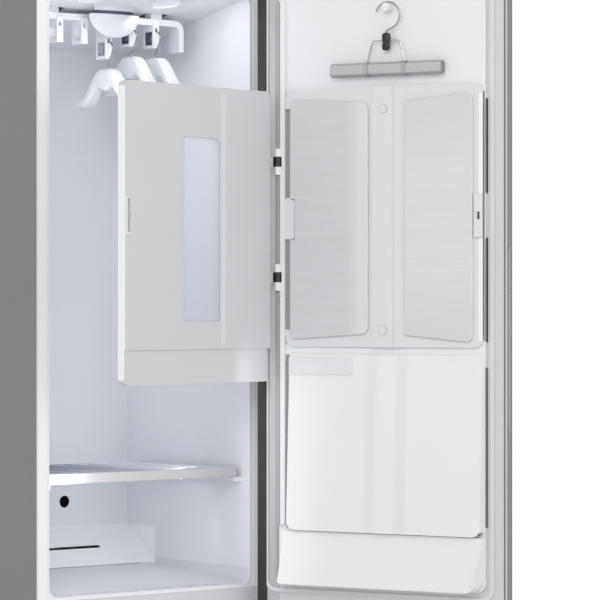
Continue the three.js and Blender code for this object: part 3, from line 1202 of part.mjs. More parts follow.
function slopedShell(x0, x1, z0, z1, topRise, lowRise, corner) {
  const profile = (inset) => outline([
    [LINER_FACE + SEAT - inset * RUN, z0 + inset * LINER_WALL],
    [LINER_FACE + SEAT + lowRise - inset * LINER_WALL, z0 + inset * LINER_WALL],
    [LINER_FACE + SEAT + topRise - inset * LINER_WALL, z1 - inset * LINER_WALL],
    [LINER_FACE + SEAT - inset * RUN, z1 - inset * LINER_WALL]]);
  const body = cut(prismX(profile(0), x0, x1), prismX(profile(1), x0 + LINER_WALL, x1 - LINER_WALL));
  const trim = prismY(roundRect(x0, x1, z0, z1, corner, corner, 0, 0), LINER_FACE - RUN, BACK);
  return body.intersect(trim);
}

function pocketFace(z) {
  const slope = (POCKET_LOW_RISE - POCKET_TOP_RISE) / (POCKET_TOP - POCKET_BOTTOM);
  return LINER_FACE + SEAT + POCKET_TOP_RISE + slope * (POCKET_TOP - z);
}

function fingerStrip() {
  const form = prismX(outline([
    [pocketFace(FINGER_LOW) - FINGER_RISE, FINGER_LOW], [pocketFace(FINGER_LOW) + FINGER_RISE, FINGER_LOW],
    [pocketFace(FINGER_TOP) + FINGER_RISE, FINGER_TOP], [pocketFace(FINGER_TOP) - FINGER_RISE, FINGER_TOP]]),
  FINGER_X0, FINGER_X1);
  return form.intersect(prismY(roundRect(FINGER_X0, FINGER_X1, FINGER_LOW, FINGER_TOP, FINGER_CORNER, 0, 0,
    FINGER_CORNER), LINER_FACE - RUN, BACK));
}

// The press board's ridge, carried on down the sloped face of the pocket panel
function pocketRidge() {
  const foot = FINGER_LOW - FINGER_RISE;
  return loft([POCKET_BOTTOM, foot].map((z) => [
    [RIDGE_FOOT_X, -FINGER_RISE], [RIDGE_HINGE_X, -FINGER_RISE], [RIDGE_HINGE_X - POCKET_RIDGE_RISE, POCKET_RIDGE_RISE],
    [RIDGE_FREE_X, POCKET_RIDGE_RISE]].map(([x, rise]) => new THREE.Vector3(x, pocketFace(z) + rise, z))));
}

function pocketPanel() {
  const shell = slopedShell(-POCKET_FREE_X, POCKET_HINGE_X, POCKET_BOTTOM, POCKET_TOP, POCKET_TOP_RISE,
    POCKET_LOW_RISE, POCKET_CORNER);
  const band = prismX(outline([
    [pocketFace(FINGER_LOW) - STEP_DEPTH, FINGER_LOW], [pocketFace(FINGER_LOW) + RUN, FINGER_LOW],
    [pocketFace(POCKET_TOP) + RUN, POCKET_TOP + RUN], [pocketFace(POCKET_TOP) - STEP_DEPTH, POCKET_TOP + RUN]]),
  -POCKET_FREE_X - RUN, POCKET_HINGE_X + RUN);
  return join(cut(shell, band), fingerStrip(), pocketRidge());
}

piece(door, 'pocket_panel', pocketPanel(), finish.white);
piece(door, 'door_scoop', slopedShell(-SCOOP_FREE_X, SCOOP_HINGE_X, LINER_BOTTOM, SCOOP_TOP,
  SCOOP_TOP_RISE, SCOOP_LOW_RISE, SCOOP_CORNER), finish.white);

// Trouser hanger on its peg above the press
const PEG_X = -34;
const PEG_RADIUS = 9;
const PEG_REACH = 25;
const TROUSER_PLANE = -250;
const TROUSER_WIRE = 1.6;
const LOOP_RADIUS = 29;
const LOOP_TOP = 1825;
const PEG_GAP = 0.6;
const BAR_X0 = -167;
const BAR_X1 = 103;
const BAR_LOW = 1665.5;
const BAR_TOP = 1694;
const BAR_HALF_DEPTH = 9;
const BAR_CHAMFER = 5;
const BAND_X = [-76, 15];
const BAND_WIDTH = 10;
const BAND_WALL = 1.2;
const FRAME_TOP = 1740;
const FRAME_HALF = 33;
const CLIP_HALF = 12.5;
const CLIP_LOW = 1719;
const CLIP_TOP = 1758;
const CLIP_DEPTH = 7;
const CLIP_BORE_GAP = 0.6;
const LOOP_STEPS = 26;
const loopArc_shares = [1.38, 1.25, 1.1, 0.95, 0.8, 0.65, 0.5, 0.35, 0.2, 0.1];

function barShape(grow) {
  const near = TROUSER_PLANE - BAR_HALF_DEPTH - grow;
  const far = TROUSER_PLANE + BAR_HALF_DEPTH + grow;
  const low = BAR_LOW - grow;
  const top = BAR_TOP + grow;
  return outline([
    [near + BAR_CHAMFER, low], [far - BAR_CHAMFER, low], [far, low + BAR_CHAMFER], [far, top - BAR_CHAMFER],
    [far - BAR_CHAMFER, top], [near + BAR_CHAMFER, top], [near, top - BAR_CHAMFER],
    [near, low + BAR_CHAMFER]]);
}

function trouserFrame() {
  const bands = BAND_X.map((x) => cut(prismX(barShape(SEAT + BAND_WALL), x - BAND_WIDTH / 2, x + BAND_WIDTH / 2),
    prismX(barShape(SEAT), x - BAND_WIDTH, x + BAND_WIDTH)));
  const centre = (BAND_X[0] + BAND_X[1]) / 2;
  const foot = BAR_TOP + SEAT + BAND_WALL / 2;
  const path = new THREE.CatmullRomCurve3([
    new THREE.Vector3(BAND_X[0], TROUSER_PLANE, foot),
    new THREE.Vector3((BAND_X[0] + centre - FRAME_HALF) / 2, TROUSER_PLANE, (foot + FRAME_TOP) / 2),
    new THREE.Vector3(centre - FRAME_HALF, TROUSER_PLANE, FRAME_TOP - CLIP_DEPTH / 2),
    new THREE.Vector3(centre - FRAME_HALF + CLIP_DEPTH / 2, TROUSER_PLANE, FRAME_TOP),
    new THREE.Vector3(centre, TROUSER_PLANE, FRAME_TOP),
    new THREE.Vector3(centre + FRAME_HALF - CLIP_DEPTH / 2, TROUSER_PLANE, FRAME_TOP),
    new THREE.Vector3(centre + FRAME_HALF, TROUSER_PLANE, FRAME_TOP - CLIP_DEPTH / 2),
    new THREE.Vector3((BAND_X[1] + centre + FRAME_HALF) / 2, TROUSER_PLANE, (foot + FRAME_TOP) / 2),
    new THREE.Vector3(BAND_X[1], TROUSER_PLANE, foot)]);
  return join(wire(path, TROUSER_WIRE, LOOP_STEPS), ...bands);
}

function trouserClip() {
  const centre = (BAND_X[0] + BAND_X[1]) / 2;
  const block = prismY(roundRect(centre - CLIP_HALF, centre + CLIP_HALF, CLIP_LOW, CLIP_TOP, LINER_WALL),
    TROUSER_PLANE - CLIP_DEPTH, TROUSER_PLANE + CLIP_DEPTH);
  return cut(block, rodX(TROUSER_PLANE, FRAME_TOP, centre - FRAME_HALF, centre + FRAME_HALF,
    TROUSER_WIRE + CLIP_BORE_GAP));
}

function trouserHook() {
  const foot = (BAND_X[0] + BAND_X[1]) / 2;
  const centreZ = LOOP_TOP - TROUSER_WIRE - LOOP_RADIUS;
  const points = [new THREE.Vector3(foot, TROUSER_PLANE, CLIP_TOP + SEAT),
    new THREE.Vector3(foot, TROUSER_PLANE, CLIP_TOP + CLIP_DEPTH / 2)];
  for (const share of loopArc_shares) {
    const turn = Math.PI * share;
    points.push(new THREE.Vector3(PEG_X + LOOP_RADIUS * Math.cos(turn), TROUSER_PLANE,
      centreZ + LOOP_RADIUS * Math.sin(turn)));
  }
  return wire(new THREE.CatmullRomCurve3(points), TROUSER_WIRE, LOOP_STEPS);
}

const PEG_Z = LOOP_TOP - 2 * TROUSER_WIRE - PEG_GAP - PEG_RADIUS;
piece(door, 'trouser_peg', rodY(PEG_X, PEG_Z, LINER_FACE + SEAT, LINER_FACE + PEG_REACH, PEG_RADIUS),
  finish.white);
piece(door, 'trouser_bar', prismX(barShape(0), BAR_X0, BAR_X1), finish.padGray);
piece(door, 'trouser_frame', trouserFrame(), finish.chrome);
piece(door, 'trouser_clip', trouserClip(), finish.black);
piece(door, 'trouser_hook', trouserHook(), finish.chrome);

// Press cover: slab with a window, a groove, a lip band and a latch at its free edge
const COVER_CORNER = 16;
const WINDOW_X0 = -71.5;
const WINDOW_X1 = 49.5;
const WINDOW_LOW = 1137.5;
const WINDOW_TOP = 1529;
const WINDOW_CHAMFER = 12;
const PANE = 3;
const PANE_INSET = 2;
const GROOVE_X0 = 52.5;
const GROOVE_X1 = 70;
const GROOVE_LOW = 1085;
const GROOVE_TOP = 1629;
const GROOVE_DEPTH = 1.5;
const LIP_INSET = 2.5;
const LIP_SIDE = 9;
const LATCH_X0 = -259;
const LATCH_X1 = -241.5;
const LATCH_LOW = 1318;
const LATCH_TOP = 1400;
const LATCH_PLATE = 1.5;
const LATCH_DEPTH = 6;
const LATCH_SLOT_X = -246;
const LATCH_SLOT_HALF = 2.5;
const LATCH_SLOT_LOW = 1324;
const LATCH_SLOT_TOP = 1394;
const LEVER_HALF = 6;
const LEVER_Z = 1358;
const COVER_WALL = 3;

function windowShape(grow) {
  return outline([
    [WINDOW_X0 - grow, WINDOW_LOW - grow], [WINDOW_X1 + grow, WINDOW_LOW - grow],
    [WINDOW_X1 + grow, WINDOW_TOP - WINDOW_CHAMFER], [WINDOW_X1 - WINDOW_CHAMFER, WINDOW_TOP + grow],
    [WINDOW_X0 - grow, WINDOW_TOP + grow]]);
}

function coverShell() {
  const slab = prismY(roundRect(-COVER_FREE_X, COVER_SIDE_X, COVER_BOTTOM, COVER_TOP, COVER_CORNER),
    COVER_FACE, COVER_BACK);
  const lip = box(-COVER_FREE_X - RUN, COVER_SIDE_X + RUN, COVER_FACE - RUN, COVER_FACE + LIP_INSET,
    COVER_BOTTOM - RUN, COVER_LIP);
  const side = box(COVER_SIDE_X - LIP_SIDE, COVER_SIDE_X + RUN, COVER_FACE - RUN, COVER_BACK + RUN,
    COVER_BOTTOM - RUN, COVER_LIP);
  const mouth = prismY(windowShape(0), COVER_FACE - RUN, COVER_BACK + RUN);
  const ledgeCut = prismY(windowShape(PANE_INSET + SEAT), COVER_FACE + PANE_INSET, COVER_BACK + RUN);
  const groove = box(GROOVE_X0, GROOVE_X1, COVER_FACE - RUN, COVER_FACE + GROOVE_DEPTH, GROOVE_LOW, GROOVE_TOP);
  const latchBay = box(LATCH_X0 - SEAT, LATCH_X1 + SEAT, COVER_FACE - RUN, COVER_FACE + LATCH_DEPTH + SEAT,
    LATCH_LOW - SEAT, LATCH_TOP + SEAT);
  const arms = [upperKnuckles, lowerKnuckles].map(([, b, c]) => join(
    knuckleRod(b, c, KNUCKLE_RADIUS),
    box(COVER_SIDE_X - COVER_WALL, COVER_HINGE_X, COVER_FACE, COVER_FACE + COVER_WALL, b, c)));
  const bores = [upperKnuckles, lowerKnuckles].map(([, b, c]) => knuckleRod(b - RUN, c + RUN,
    KNUCKLE_PIN + SEAT));
  return cut(join(cut(slab, lip, side, mouth, ledgeCut, groove, latchBay), ...arms), ...bores);
}

function latchPlate() {
  const plate = box(LATCH_X0, LATCH_X1, COVER_FACE, COVER_FACE + LATCH_PLATE, LATCH_LOW, LATCH_TOP);
  const walls = cut(box(LATCH_X0, LATCH_X1, COVER_FACE, COVER_FACE + LATCH_DEPTH, LATCH_LOW, LATCH_TOP),
    box(LATCH_X0 + LATCH_PLATE, LATCH_X1 - LATCH_PLATE, COVER_FACE + LATCH_PLATE, COVER_FACE + LATCH_DEPTH + RUN,
      LATCH_LOW + LATCH_PLATE, LATCH_TOP - LATCH_PLATE));
  const slot = box(LATCH_SLOT_X - LATCH_SLOT_HALF, LATCH_SLOT_X + LATCH_SLOT_HALF, COVER_FACE - RUN,
    COVER_FACE + LATCH_PLATE + RUN, LATCH_SLOT_LOW, LATCH_SLOT_TOP);
  return cut(join(plate, walls), slot);
}

function latchSlider() {
  const neck = LATCH_SLOT_HALF - SEAT;
  const back = COVER_FACE + LATCH_PLATE + SEAT;
  return join(
    box(LATCH_SLOT_X - neck, LATCH_SLOT_X + neck, COVER_FACE - LATCH_PLATE, back + LATCH_PLATE,
      LEVER_Z - LEVER_HALF, LEVER_Z + LEVER_HALF),
    box(LATCH_X0 + LATCH_PLATE * 2, LATCH_X1 - LATCH_PLATE - SEAT, back, back + LATCH_PLATE,
      LEVER_Z - LEVER_HALF, LEVER_Z + LEVER_HALF));
}

piece(cover, 'press_cover', coverShell(), finish.white);
piece(cover, 'press_cover_window', prismY(windowShape(PANE_INSET), COVER_FACE + PANE_INSET + SEAT,
  COVER_FACE + PANE_INSET + SEAT + PANE), finish.clear);
piece(cover, 'press_latch_plate', latchPlate(), finish.silver);
piece(cover, 'press_latch_slider', latchSlider(), finish.chrome);

export default cabinet;
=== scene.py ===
"""Looks of a clothes care steam cabinet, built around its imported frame.

Each sub-assembly is a class that dresses its nodes or builds finer pieces over them. Lengths in the
classes are millimetres. Pieces on the door and on the press cover are drawn as if both were shut, and are
then turned open about their hinges.
"""

from __future__ import annotations

import json
import logging
import math
from collections.abc import Callable, Sequence
from dataclasses import dataclass
from enum import Enum
from functools import lru_cache

import bmesh
import bpy
from mathutils import Matrix, Vector


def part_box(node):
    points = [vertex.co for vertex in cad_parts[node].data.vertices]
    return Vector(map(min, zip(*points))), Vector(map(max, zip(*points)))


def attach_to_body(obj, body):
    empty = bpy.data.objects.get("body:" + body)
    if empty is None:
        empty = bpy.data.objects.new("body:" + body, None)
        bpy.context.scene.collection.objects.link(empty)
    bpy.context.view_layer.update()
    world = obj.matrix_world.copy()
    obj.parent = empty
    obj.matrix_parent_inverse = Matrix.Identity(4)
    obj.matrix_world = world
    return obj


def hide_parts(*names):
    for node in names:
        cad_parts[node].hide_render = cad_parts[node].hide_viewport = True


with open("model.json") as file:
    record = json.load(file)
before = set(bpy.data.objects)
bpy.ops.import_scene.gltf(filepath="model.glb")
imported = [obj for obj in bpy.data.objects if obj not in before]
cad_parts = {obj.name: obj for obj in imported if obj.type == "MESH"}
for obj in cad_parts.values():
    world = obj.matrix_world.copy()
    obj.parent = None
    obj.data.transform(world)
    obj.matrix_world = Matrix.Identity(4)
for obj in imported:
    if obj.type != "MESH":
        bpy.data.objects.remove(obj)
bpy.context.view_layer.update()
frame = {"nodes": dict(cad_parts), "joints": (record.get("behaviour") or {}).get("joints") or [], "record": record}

MM = 0.001
Colour = tuple[float, float, float]
Point = tuple[float, float, float]
log = logging.getLogger("steam_cabinet")


def tint(red: int, green: int, blue: int) -> Colour:
    """Turns a display colour into linear light.

    Args:
        red: Red from 0 to 255.
        green: Green from 0 to 255.
        blue: Blue from 0 to 255.

    Returns:
        The three channels as linear values from 0 to 1.
    """
    def linear(value: int) -> float:
        """One channel's linear value."""
        share = value / 255
        return share / 12.92 if share <= 0.04045 else ((share + 0.055) / 1.055) ** 2.4

    return linear(red), linear(green), linear(blue)


def shaded(colour: Colour, share: float) -> Colour:
    """Makes a colour darker or lighter.

    Args:
        colour: The linear colour.
        share: What each channel is multiplied by.

    Returns:
        The new colour, held at 1.
    """
    return tuple(min(1.0, channel * share) for channel in colour)


class Wire:
    """One socket of a node tree, written in sums as a number is."""

    def __init__(self, socket: bpy.types.NodeSocket) -> None:
        """Wraps an output socket."""
        self.socket = socket

    def node(self, kind: str, settings: dict | None = None, values: dict | None = None,
             output: int | str = 0) -> Wire:
        """Adds any node to this wire's tree.

        Args:
            kind: The node's type.
            settings: The node's own settings, set first.
            values: What its input sockets hold, by name or number: wires are linked, and the rest is set.
            output: Name or number of the socket to return.

        Returns:
            The new node's output.
        """
        made = self.socket.id_data.nodes.new(kind)
        for name, setting in (settings or {}).items():
            setattr(made, name, setting)
        feed(made, values or {})
        return Wire(made.outputs[output])

    def maths(self, operation: str, *terms: Wire | float) -> Wire:
        """Adds a Math node.

        Args:
            operation: The node's operation.
            terms: Its inputs in order.

        Returns:
            The result.
        """
        return self.node("ShaderNodeMath", {"operation": operation}, dict(enumerate(terms)))

    def __add__(self, other: Wire | float) -> Wire:
        """This plus other."""
        return self.maths("ADD", self, other)

    __radd__ = __add__

    def __sub__(self, other: Wire | float) -> Wire:
        """This minus other."""
        return self.maths("SUBTRACT", self, other)

    def __rsub__(self, other: Wire | float) -> Wire:
        """Other minus this."""
        return self.maths("SUBTRACT", other, self)

    def __mul__(self, other: Wire | float) -> Wire:
        """This times other."""
        return self.maths("MULTIPLY", self, other)

    __rmul__ = __mul__

    def axes(self) -> tuple[Wire, Wire, Wire]:
        """The three parts of this vector."""
        parts = self.node("ShaderNodeSeparateXYZ", None, {"Vector": self}).socket.node
        return tuple(Wire(socket) for socket in parts.outputs)

    def between(self, low: float, high: float, blur: float) -> Wire:
        """A mask of the values from low to high.

        Args:
            low: The lowest value.
            high: The highest value.
            blur: How wide each edge of the mask is.

        Returns:
            1 inside and 0 outside.
        """
        rise = {"Value": self, "From Min": low - blur, "From Max": low + blur}
        fall = {"Value": self, "From Min": high + blur, "From Max": high - blur}
        mask = self.node("ShaderNodeMapRange", None, rise)
        return mask * self.node("ShaderNodeMapRange", None, fall)

    def noise(self, scale: float, detail: float = 2.0, stretch: Point = (1.0, 1.0, 1.0)) -> Wire:
        """Noise on these coordinates.

        Args:
            scale: Waves to the metre.
            detail: How many finer octaves it holds.
            stretch: How many times finer it is along each axis.

        Returns:
            The noise's value, about 0.5.
        """
        place = self.node("ShaderNodeMapping", None, {"Vector": self, "Scale": stretch})
        return place.node("ShaderNodeTexNoise", None, {"Vector": place, "Scale": scale, "Detail": detail})

    def blend(self, first: Colour | Wire, second: Colour | Wire) -> Wire:
        """Mixes two colours by this value.

        Args:
            first: The colour at 0.
            second: The colour at 1.

        Returns:
            The mixed colour.
        """
        ends = {"Factor": self, 6: opaque(first), 7: opaque(second)}
        return self.node("ShaderNodeMix", {"data_type": "RGBA"}, ends, 2)


def opaque(colour: Colour | Wire) -> tuple[float, float, float, float] | Wire:
    """A colour with full alpha, or a wire as it is."""
    return colour if isinstance(colour, Wire) else (*colour, 1.0)


def feed(node: bpy.types.Node, values: dict) -> None:
    """Sets or links a node's input sockets.

    Args:
        node: The node.
        values: What each input holds, by name or number.
    """
    for name, value in values.items():
        if isinstance(value, Wire):
            node.id_data.links.new(value.socket, node.inputs[name])
        else:
            node.inputs[name].default_value = value


def blank(name: str) -> tuple[bpy.types.Material, Wire, bpy.types.Node]:
    """Starts a material.

    Args:
        name: The material's name.

    Returns:
        The material, its object coordinates and its Principled shader.
    """
    material = bpy.data.materials.new(name)
    material.use_nodes = True
    tree = material.node_tree
    shader = next(node for node in tree.nodes if node.type == "BSDF_PRINCIPLED")
    place = Wire(tree.nodes.new("ShaderNodeTexCoord").outputs["Object"])
    return material, place, shader


def grain(place: Wire, shader: bpy.types.Node, height: Wire, depth: float) -> None:
    """Gives a shader a fine relief.

    Args:
        place: The object coordinates.
        shader: The Principled shader.
        height: The relief, from 0 to 1.
        depth: Its depth in metres.
    """
    bump = place.node("ShaderNodeBump", None, {"Strength": 1.0, "Distance": depth, "Height": height})
    feed(shader, {"Normal": bump})


def hinge_turn(name: str, limit: int) -> Matrix:
    """The turn of a piece about an upright hinge of the frame, away from one of its limits.

    Args:
        name: The hinge's name.
        limit: 0 for its lower limit and 1 for its upper one.

    Returns:
        The turn as a matrix in metres.
    """
    hinge = next(joint for joint in frame["joints"] if joint["name"] == name)
    place, angle = Vector(hinge["pos_m"]), math.radians(-hinge["range_deg"][limit])
    return Matrix.Translation(place) @ Matrix.Rotation(angle, 4, "Z") @ Matrix.Translation(-place)


class Drawn(Enum):
    """Where a piece's lengths are measured: as it stands, on the shut door or on the shut cover."""

    STANDING = "standing"
    ON_DOOR = "door"
    ON_COVER = "cover"

    def place(self) -> Matrix:
        """Finds the turn from the drawing to the piece as it stands.

        Returns:
            The turn as a matrix in metres.
        """
        if self is Drawn.STANDING:
            return Matrix()
        opened = hinge_turn("door_hinge", 0)
        if self is Drawn.ON_DOOR:
            return opened
        return hinge_turn("cover_hinge", 1) @ opened

    def drawing(self, place: Wire) -> Wire:
        """Turns object coordinates back to the drawing.

        Args:
            place: The object coordinates.

        Returns:
            The same place in the drawing, in metres.
        """
        if self is Drawn.STANDING:
            return place
        back = self.place().inverted()
        return place.node("ShaderNodeMapping", None, {
            "Vector": place, "Location": back.translation, "Rotation": tuple(back.to_euler())})


FAR = 9999.0
Limits = tuple[float, float]
ANYWHERE: Limits = (-FAR, FAR)


@dataclass(frozen=True)
class Zone:
    """A part of a surface in another colour, between limits in millimetres; zones hold both the thing's own
    colours and painted light and shade.
    """

    colour: Colour
    across: Limits = ANYWHERE
    deep: Limits = ANYWHERE
    up: Limits = ANYWHERE
    blur: float = 0.3

    def mask(self, axes: Sequence[Wire]) -> Wire:
        """The zone's mask.

        Args:
            axes: The place's three parts in metres.

        Returns:
            1 inside the zone and 0 outside.
        """
        limits = zip(axes, (self.across, self.deep, self.up))
        bounded = [axis.between(low * MM, high * MM, self.blur * MM)
                   for axis, (low, high) in limits if (low, high) != ANYWHERE]
        whole = bounded[0]
        for mask in bounded[1:]:
            whole = whole * mask
        return whole


@dataclass(frozen=True)
class Ring(Zone):
    """A ring on an upright face, about a centre given across and up."""

    centre: Limits = (0.0, 0.0)
    radii: Limits = (0.0, 1.0)

    def mask(self, axes: Sequence[Wire]) -> Wire:
        """The ring's mask.

        Args:
            axes: The place's three parts in metres.

        Returns:
            1 on the ring and 0 elsewhere.
        """
        across, up = axes[0] - self.centre[0] * MM, axes[2] - self.centre[1] * MM
        away = across.maths("SQRT", across * across + up * up)
        return away.between(self.radii[0] * MM, self.radii[1] * MM, self.blur * MM)


@dataclass(frozen=True, kw_only=True)
class Finish:
    """What every finish has: a colour, and zones in other colours."""

    name: str
    colour: Colour
    zones: tuple[Zone, ...] = ()
    drawn: Drawn = Drawn.STANDING

    def material(self) -> bpy.types.Material:
        """Builds the material."""
        material, place, shader = blank(self.name)
        self.dress(place, shader)
        return material

    def dress(self, place: Wire, shader: bpy.types.Node) -> None:
        """Feeds the shader, which each finish does in its own way."""
        raise NotImplementedError

    def varied(self, wire: Wire, low: float, high: float) -> Wire:
        """The finish's colour between two shares of itself, as a wire rises from 0 to 1."""
        return wire.blend(shaded(self.colour, low), shaded(self.colour, high))

    def painted(self, place: Wire, cloud: Wire, colour: Wire) -> Wire:
        """Lays the zones over a colour.

        Args:
            place: The object coordinates.
            cloud: The mottling.
            colour: The colour outside the zones.

        Returns:
            The colour with its zones.
        """
        if not self.zones:
            return colour
        axes = self.drawn.drawing(place).axes()
        for zone in self.zones:
            tone = cloud.blend(shaded(zone.colour, 0.97), zone.colour)
            colour = zone.mask(axes).blend(colour, tone)
        return colour


@dataclass(frozen=True, kw_only=True)
class Moulded(Finish):
    """Moulded plastic: faint mottling, uneven gloss and a fine grain."""

    roughness: float = 0.4
    unevenness: float = 0.12
    mottle: float = 0.03
    depth: float = 0.00002
    cloud_scale: float = 7.0
    smudge_scale: float = 38.0
    grain_scale: float = 900.0
    alpha: float = 1.0

    def dress(self, place: Wire, shader: bpy.types.Node) -> None:
        """Feeds the shader.

        Args:
            place: The object coordinates.
            shader: The Principled shader.
        """
        cloud = place.noise(self.cloud_scale, 3.0)
        smudge = place.noise(self.smudge_scale, 4.0)
        colour = self.varied(cloud, 1 - self.mottle, 1 + self.mottle / 2)
        feed(shader, {"Base Color": self.painted(place, cloud, colour),
                      "Roughness": smudge * self.unevenness + (self.roughness - self.unevenness / 2)})
        if self.alpha < 1:
            feed(shader, {"Alpha": self.alpha})
        grain(place, shader, place.noise(self.grain_scale, 1.0), self.depth)


@dataclass(frozen=True, kw_only=True)
class Brushed(Finish):
    """A surface with fine level streaks, on metal or on a coated plate."""

    roughness: float
    metallic: float
    streak: float
    unevenness: float = 0.2
    depth: float = 0.00003
    fine_scale: float = 16.0
    fine_stretch: Point = (1.0, 1.0, 42.0)
    fine_share: float = 0.6
    broad_scale: float = 5.0
    broad_stretch: Point = (1.0, 1.0, 26.0)
    broad_share: float = 0.4

    def dress(self, place: Wire, shader: bpy.types.Node) -> None:
        """Feeds the shader.

        Args:
            place: The object coordinates.
            shader: The Principled shader.
        """
        fine = place.noise(self.fine_scale, 3.0, self.fine_stretch)
        broad = place.noise(self.broad_scale, 2.0, self.broad_stretch)
        streaks = fine * self.fine_share + broad * self.broad_share
        colour = self.varied(streaks, 1 - self.streak, 1 + self.streak)
        feed(shader, {"Base Color": self.painted(place, streaks, colour), "Metallic": self.metallic,
                      "Roughness": fine * self.unevenness + (self.roughness - self.unevenness / 2)})
        grain(place, shader, fine, self.depth)


@dataclass(frozen=True, kw_only=True)
class Metal(Finish):
    """Plain metal with faint smears in its gloss."""

    roughness: float
    smear: float = 0.1
    smear_scale: float = 45.0
    dull: float = 0.94
    scratch_scale: float = 260.0
    depth: float = 0.00001

    def dress(self, place: Wire, shader: bpy.types.Node) -> None:
        """Feeds the shader.

        Args:
            place: The object coordinates.
            shader: The Principled shader.
        """
        smears = place.noise(self.smear_scale, 5.0)
        feed(shader, {"Base Color": self.varied(smears, self.dull, 1.0), "Metallic": 1.0,
                      "Roughness": smears * self.smear + (self.roughness - self.smear / 2)})
        grain(place, shader, place.noise(self.scratch_scale, 2.0), self.depth)


@dataclass(frozen=True, kw_only=True)
class Galvanised(Finish):
    """Zinc-coated sheet with its spangle."""

    glossiest: float = 0.38
    unevenness: float = 0.15
    metallic: float = 0.85
    darkest: float = 0.88
    palest: float = 1.08
    spangle_scale: float = 85.0
    relief_scale: float = 300.0
    depth: float = 0.00002

    def dress(self, place: Wire, shader: bpy.types.Node) -> None:
        """Feeds the shader.

        Args:
            place: The object coordinates.
            shader: The Principled shader.
        """
        cells = place.node("ShaderNodeTexVoronoi", None, {"Vector": place, "Scale": self.spangle_scale},
                           "Color")
        flake = cells.node("ShaderNodeSeparateColor", None, {"Color": cells})
        feed(shader, {"Base Color": self.varied(flake, self.darkest, self.palest), "Metallic": self.metallic,
                      "Roughness": flake * self.unevenness + self.glossiest})
        grain(place, shader, place.noise(self.relief_scale, 3.0), self.depth)


@dataclass(frozen=True, kw_only=True)
class Coated(Finish):
    """Coated steel with its orange-peel relief and uneven gloss."""

    roughness: float
    metallic: float
    unevenness: float = 0.14
    darkest: float = 0.95
    palest: float = 1.04
    cloud_scale: float = 4.0
    smudge_scale: float = 24.0
    peel_scale: float = 420.0
    depth: float = 0.00004

    def dress(self, place: Wire, shader: bpy.types.Node) -> None:
        """Feeds the shader.

        Args:
            place: The object coordinates.
            shader: The Principled shader.
        """
        cloud = place.noise(self.cloud_scale, 3.0)
        colour = self.varied(cloud, self.darkest, self.palest)
        coloured = self.painted(place, cloud, colour)
        gloss = place.noise(self.smudge_scale, 4.0) * self.unevenness
        feed(shader, {"Base Color": coloured, "Metallic": self.metallic,
                      "Roughness": gloss + (self.roughness - self.unevenness / 2)})
        grain(place, shader, place.noise(self.peel_scale, 2.0), self.depth)


@dataclass(frozen=True, kw_only=True)
class Glowing(Finish):
    """A lamp's frosted lens, lit from behind."""

    strength: float
    roughness: float = 0.3
    edge_glow: float = 0.9
    prism_scale: float = 420.0
    depth: float = 0.0001

    def dress(self, place: Wire, shader: bpy.types.Node) -> None:
        """Feeds the shader.

        Args:
            place: The object coordinates.
            shader: The Principled shader.
        """
        prisms = place.node("ShaderNodeTexVoronoi", None, {"Vector": place, "Scale": self.prism_scale})
        glow = self.varied(prisms, 1.0, self.edge_glow)
        feed(shader, {"Base Color": opaque(self.colour), "Roughness": self.roughness,
                      "Emission Color": glow, "Emission Strength": self.strength})
        grain(place, shader, prisms, self.depth)


@lru_cache(maxsize=None)
def material_of(finish: Finish) -> bpy.types.Material:
    """The one material of a finish, built when it is first used."""
    return finish.material()


KNUCKLE_ACROSS: Limits = (231.0, 249.0)
KNUCKLE_GAPS: tuple[Limits, ...] = ((1475.0, 1497.2), (1221.6, 1244.1))
STRIP_RUNS: tuple[Limits, ...] = ((-FAR, 1203.0), (1262.0, 1457.0), (1515.0, FAR))
CLIP_SLITS: tuple[Limits, ...] = ((1411.0, 1610.0), (1095.0, 1313.0))
SIDE_SLIT: Limits = (700.0, 1040.0)
SLIT_EDGE = -260.3
SLIT_ACROSS: Limits = (-264.6, SLIT_EDGE)
CAPS: tuple[Limits, ...] = ((-22.6, 1594.0), (-22.6, 1118.0))
FRONT_FACE: Limits = (-FAR, -262.5)
HOLDER_DEEP: Limits = (-100.0, -74.0)


def knuckle_gaps(deep: Limits = ANYWHERE) -> tuple[Zone, ...]:
    """The dark middles of the press cover's two hinges."""
    return tuple(Zone(tint(40, 41, 42), KNUCKLE_ACROSS, deep, gap) for gap in KNUCKLE_GAPS)


def shade_beside_knuckles(colour: Colour, inner: float) -> tuple[Zone, ...]:
    """A band of painted shade along the hinge strip's edge, left out at the knuckles."""
    return tuple(Zone(colour, (inner, FAR), up=run) for run in STRIP_RUNS)


WHITE = Moulded(name="white_shell", colour=tint(231, 232, 233), roughness=0.36)
POCKET_WHITE = Moulded(name="pocket_shell", colour=WHITE.colour, roughness=0.36,
                       drawn=Drawn.ON_DOOR, zones=(
    # Painted shade: two soft darker bands down the panel at the ridge and its slope, and one across the finger
    # strip.
    Zone(tint(224, 226, 228), (-78.0, -53.0), blur=4.0),
    Zone(tint(226, 228, 230), (-5.0, 22.0), blur=4.0),
    Zone(tint(223, 225, 227), (55.0, FAR), up=(1021.0, 1058.0))))
HANGER_WHITE = Moulded(name="hanger_shell", colour=tint(222, 225, 229), roughness=0.3)
RACK_WHITE = Moulded(name="rack_shell", colour=tint(228, 230, 235), roughness=0.34, zones=(
    # Painted shade in the holders' D-shaped windows: dark blue-gray in two holders, pale blue-gray in the middle
    # one.
    *(Zone(tint(70, 75, 96), across, HOLDER_DEEP, (1750.8, 1780.8), 0.1)
      for across in ((56.8, 73.2), (121.8, 138.2))),
    Zone(tint(160, 167, 180), (-8.2, 8.2), HOLDER_DEEP, (1720.8, 1750.8), 0.1)))
DRIVE_WHITE = Moulded(name="drive_cover_shell", colour=tint(214, 216, 222), roughness=0.34, zones=(
    # Painted shadow: a dark blue band round the collar, under the ceiling.
    Zone(tint(58, 62, 84), up=(1809.6, 1817.5), blur=1.0),))
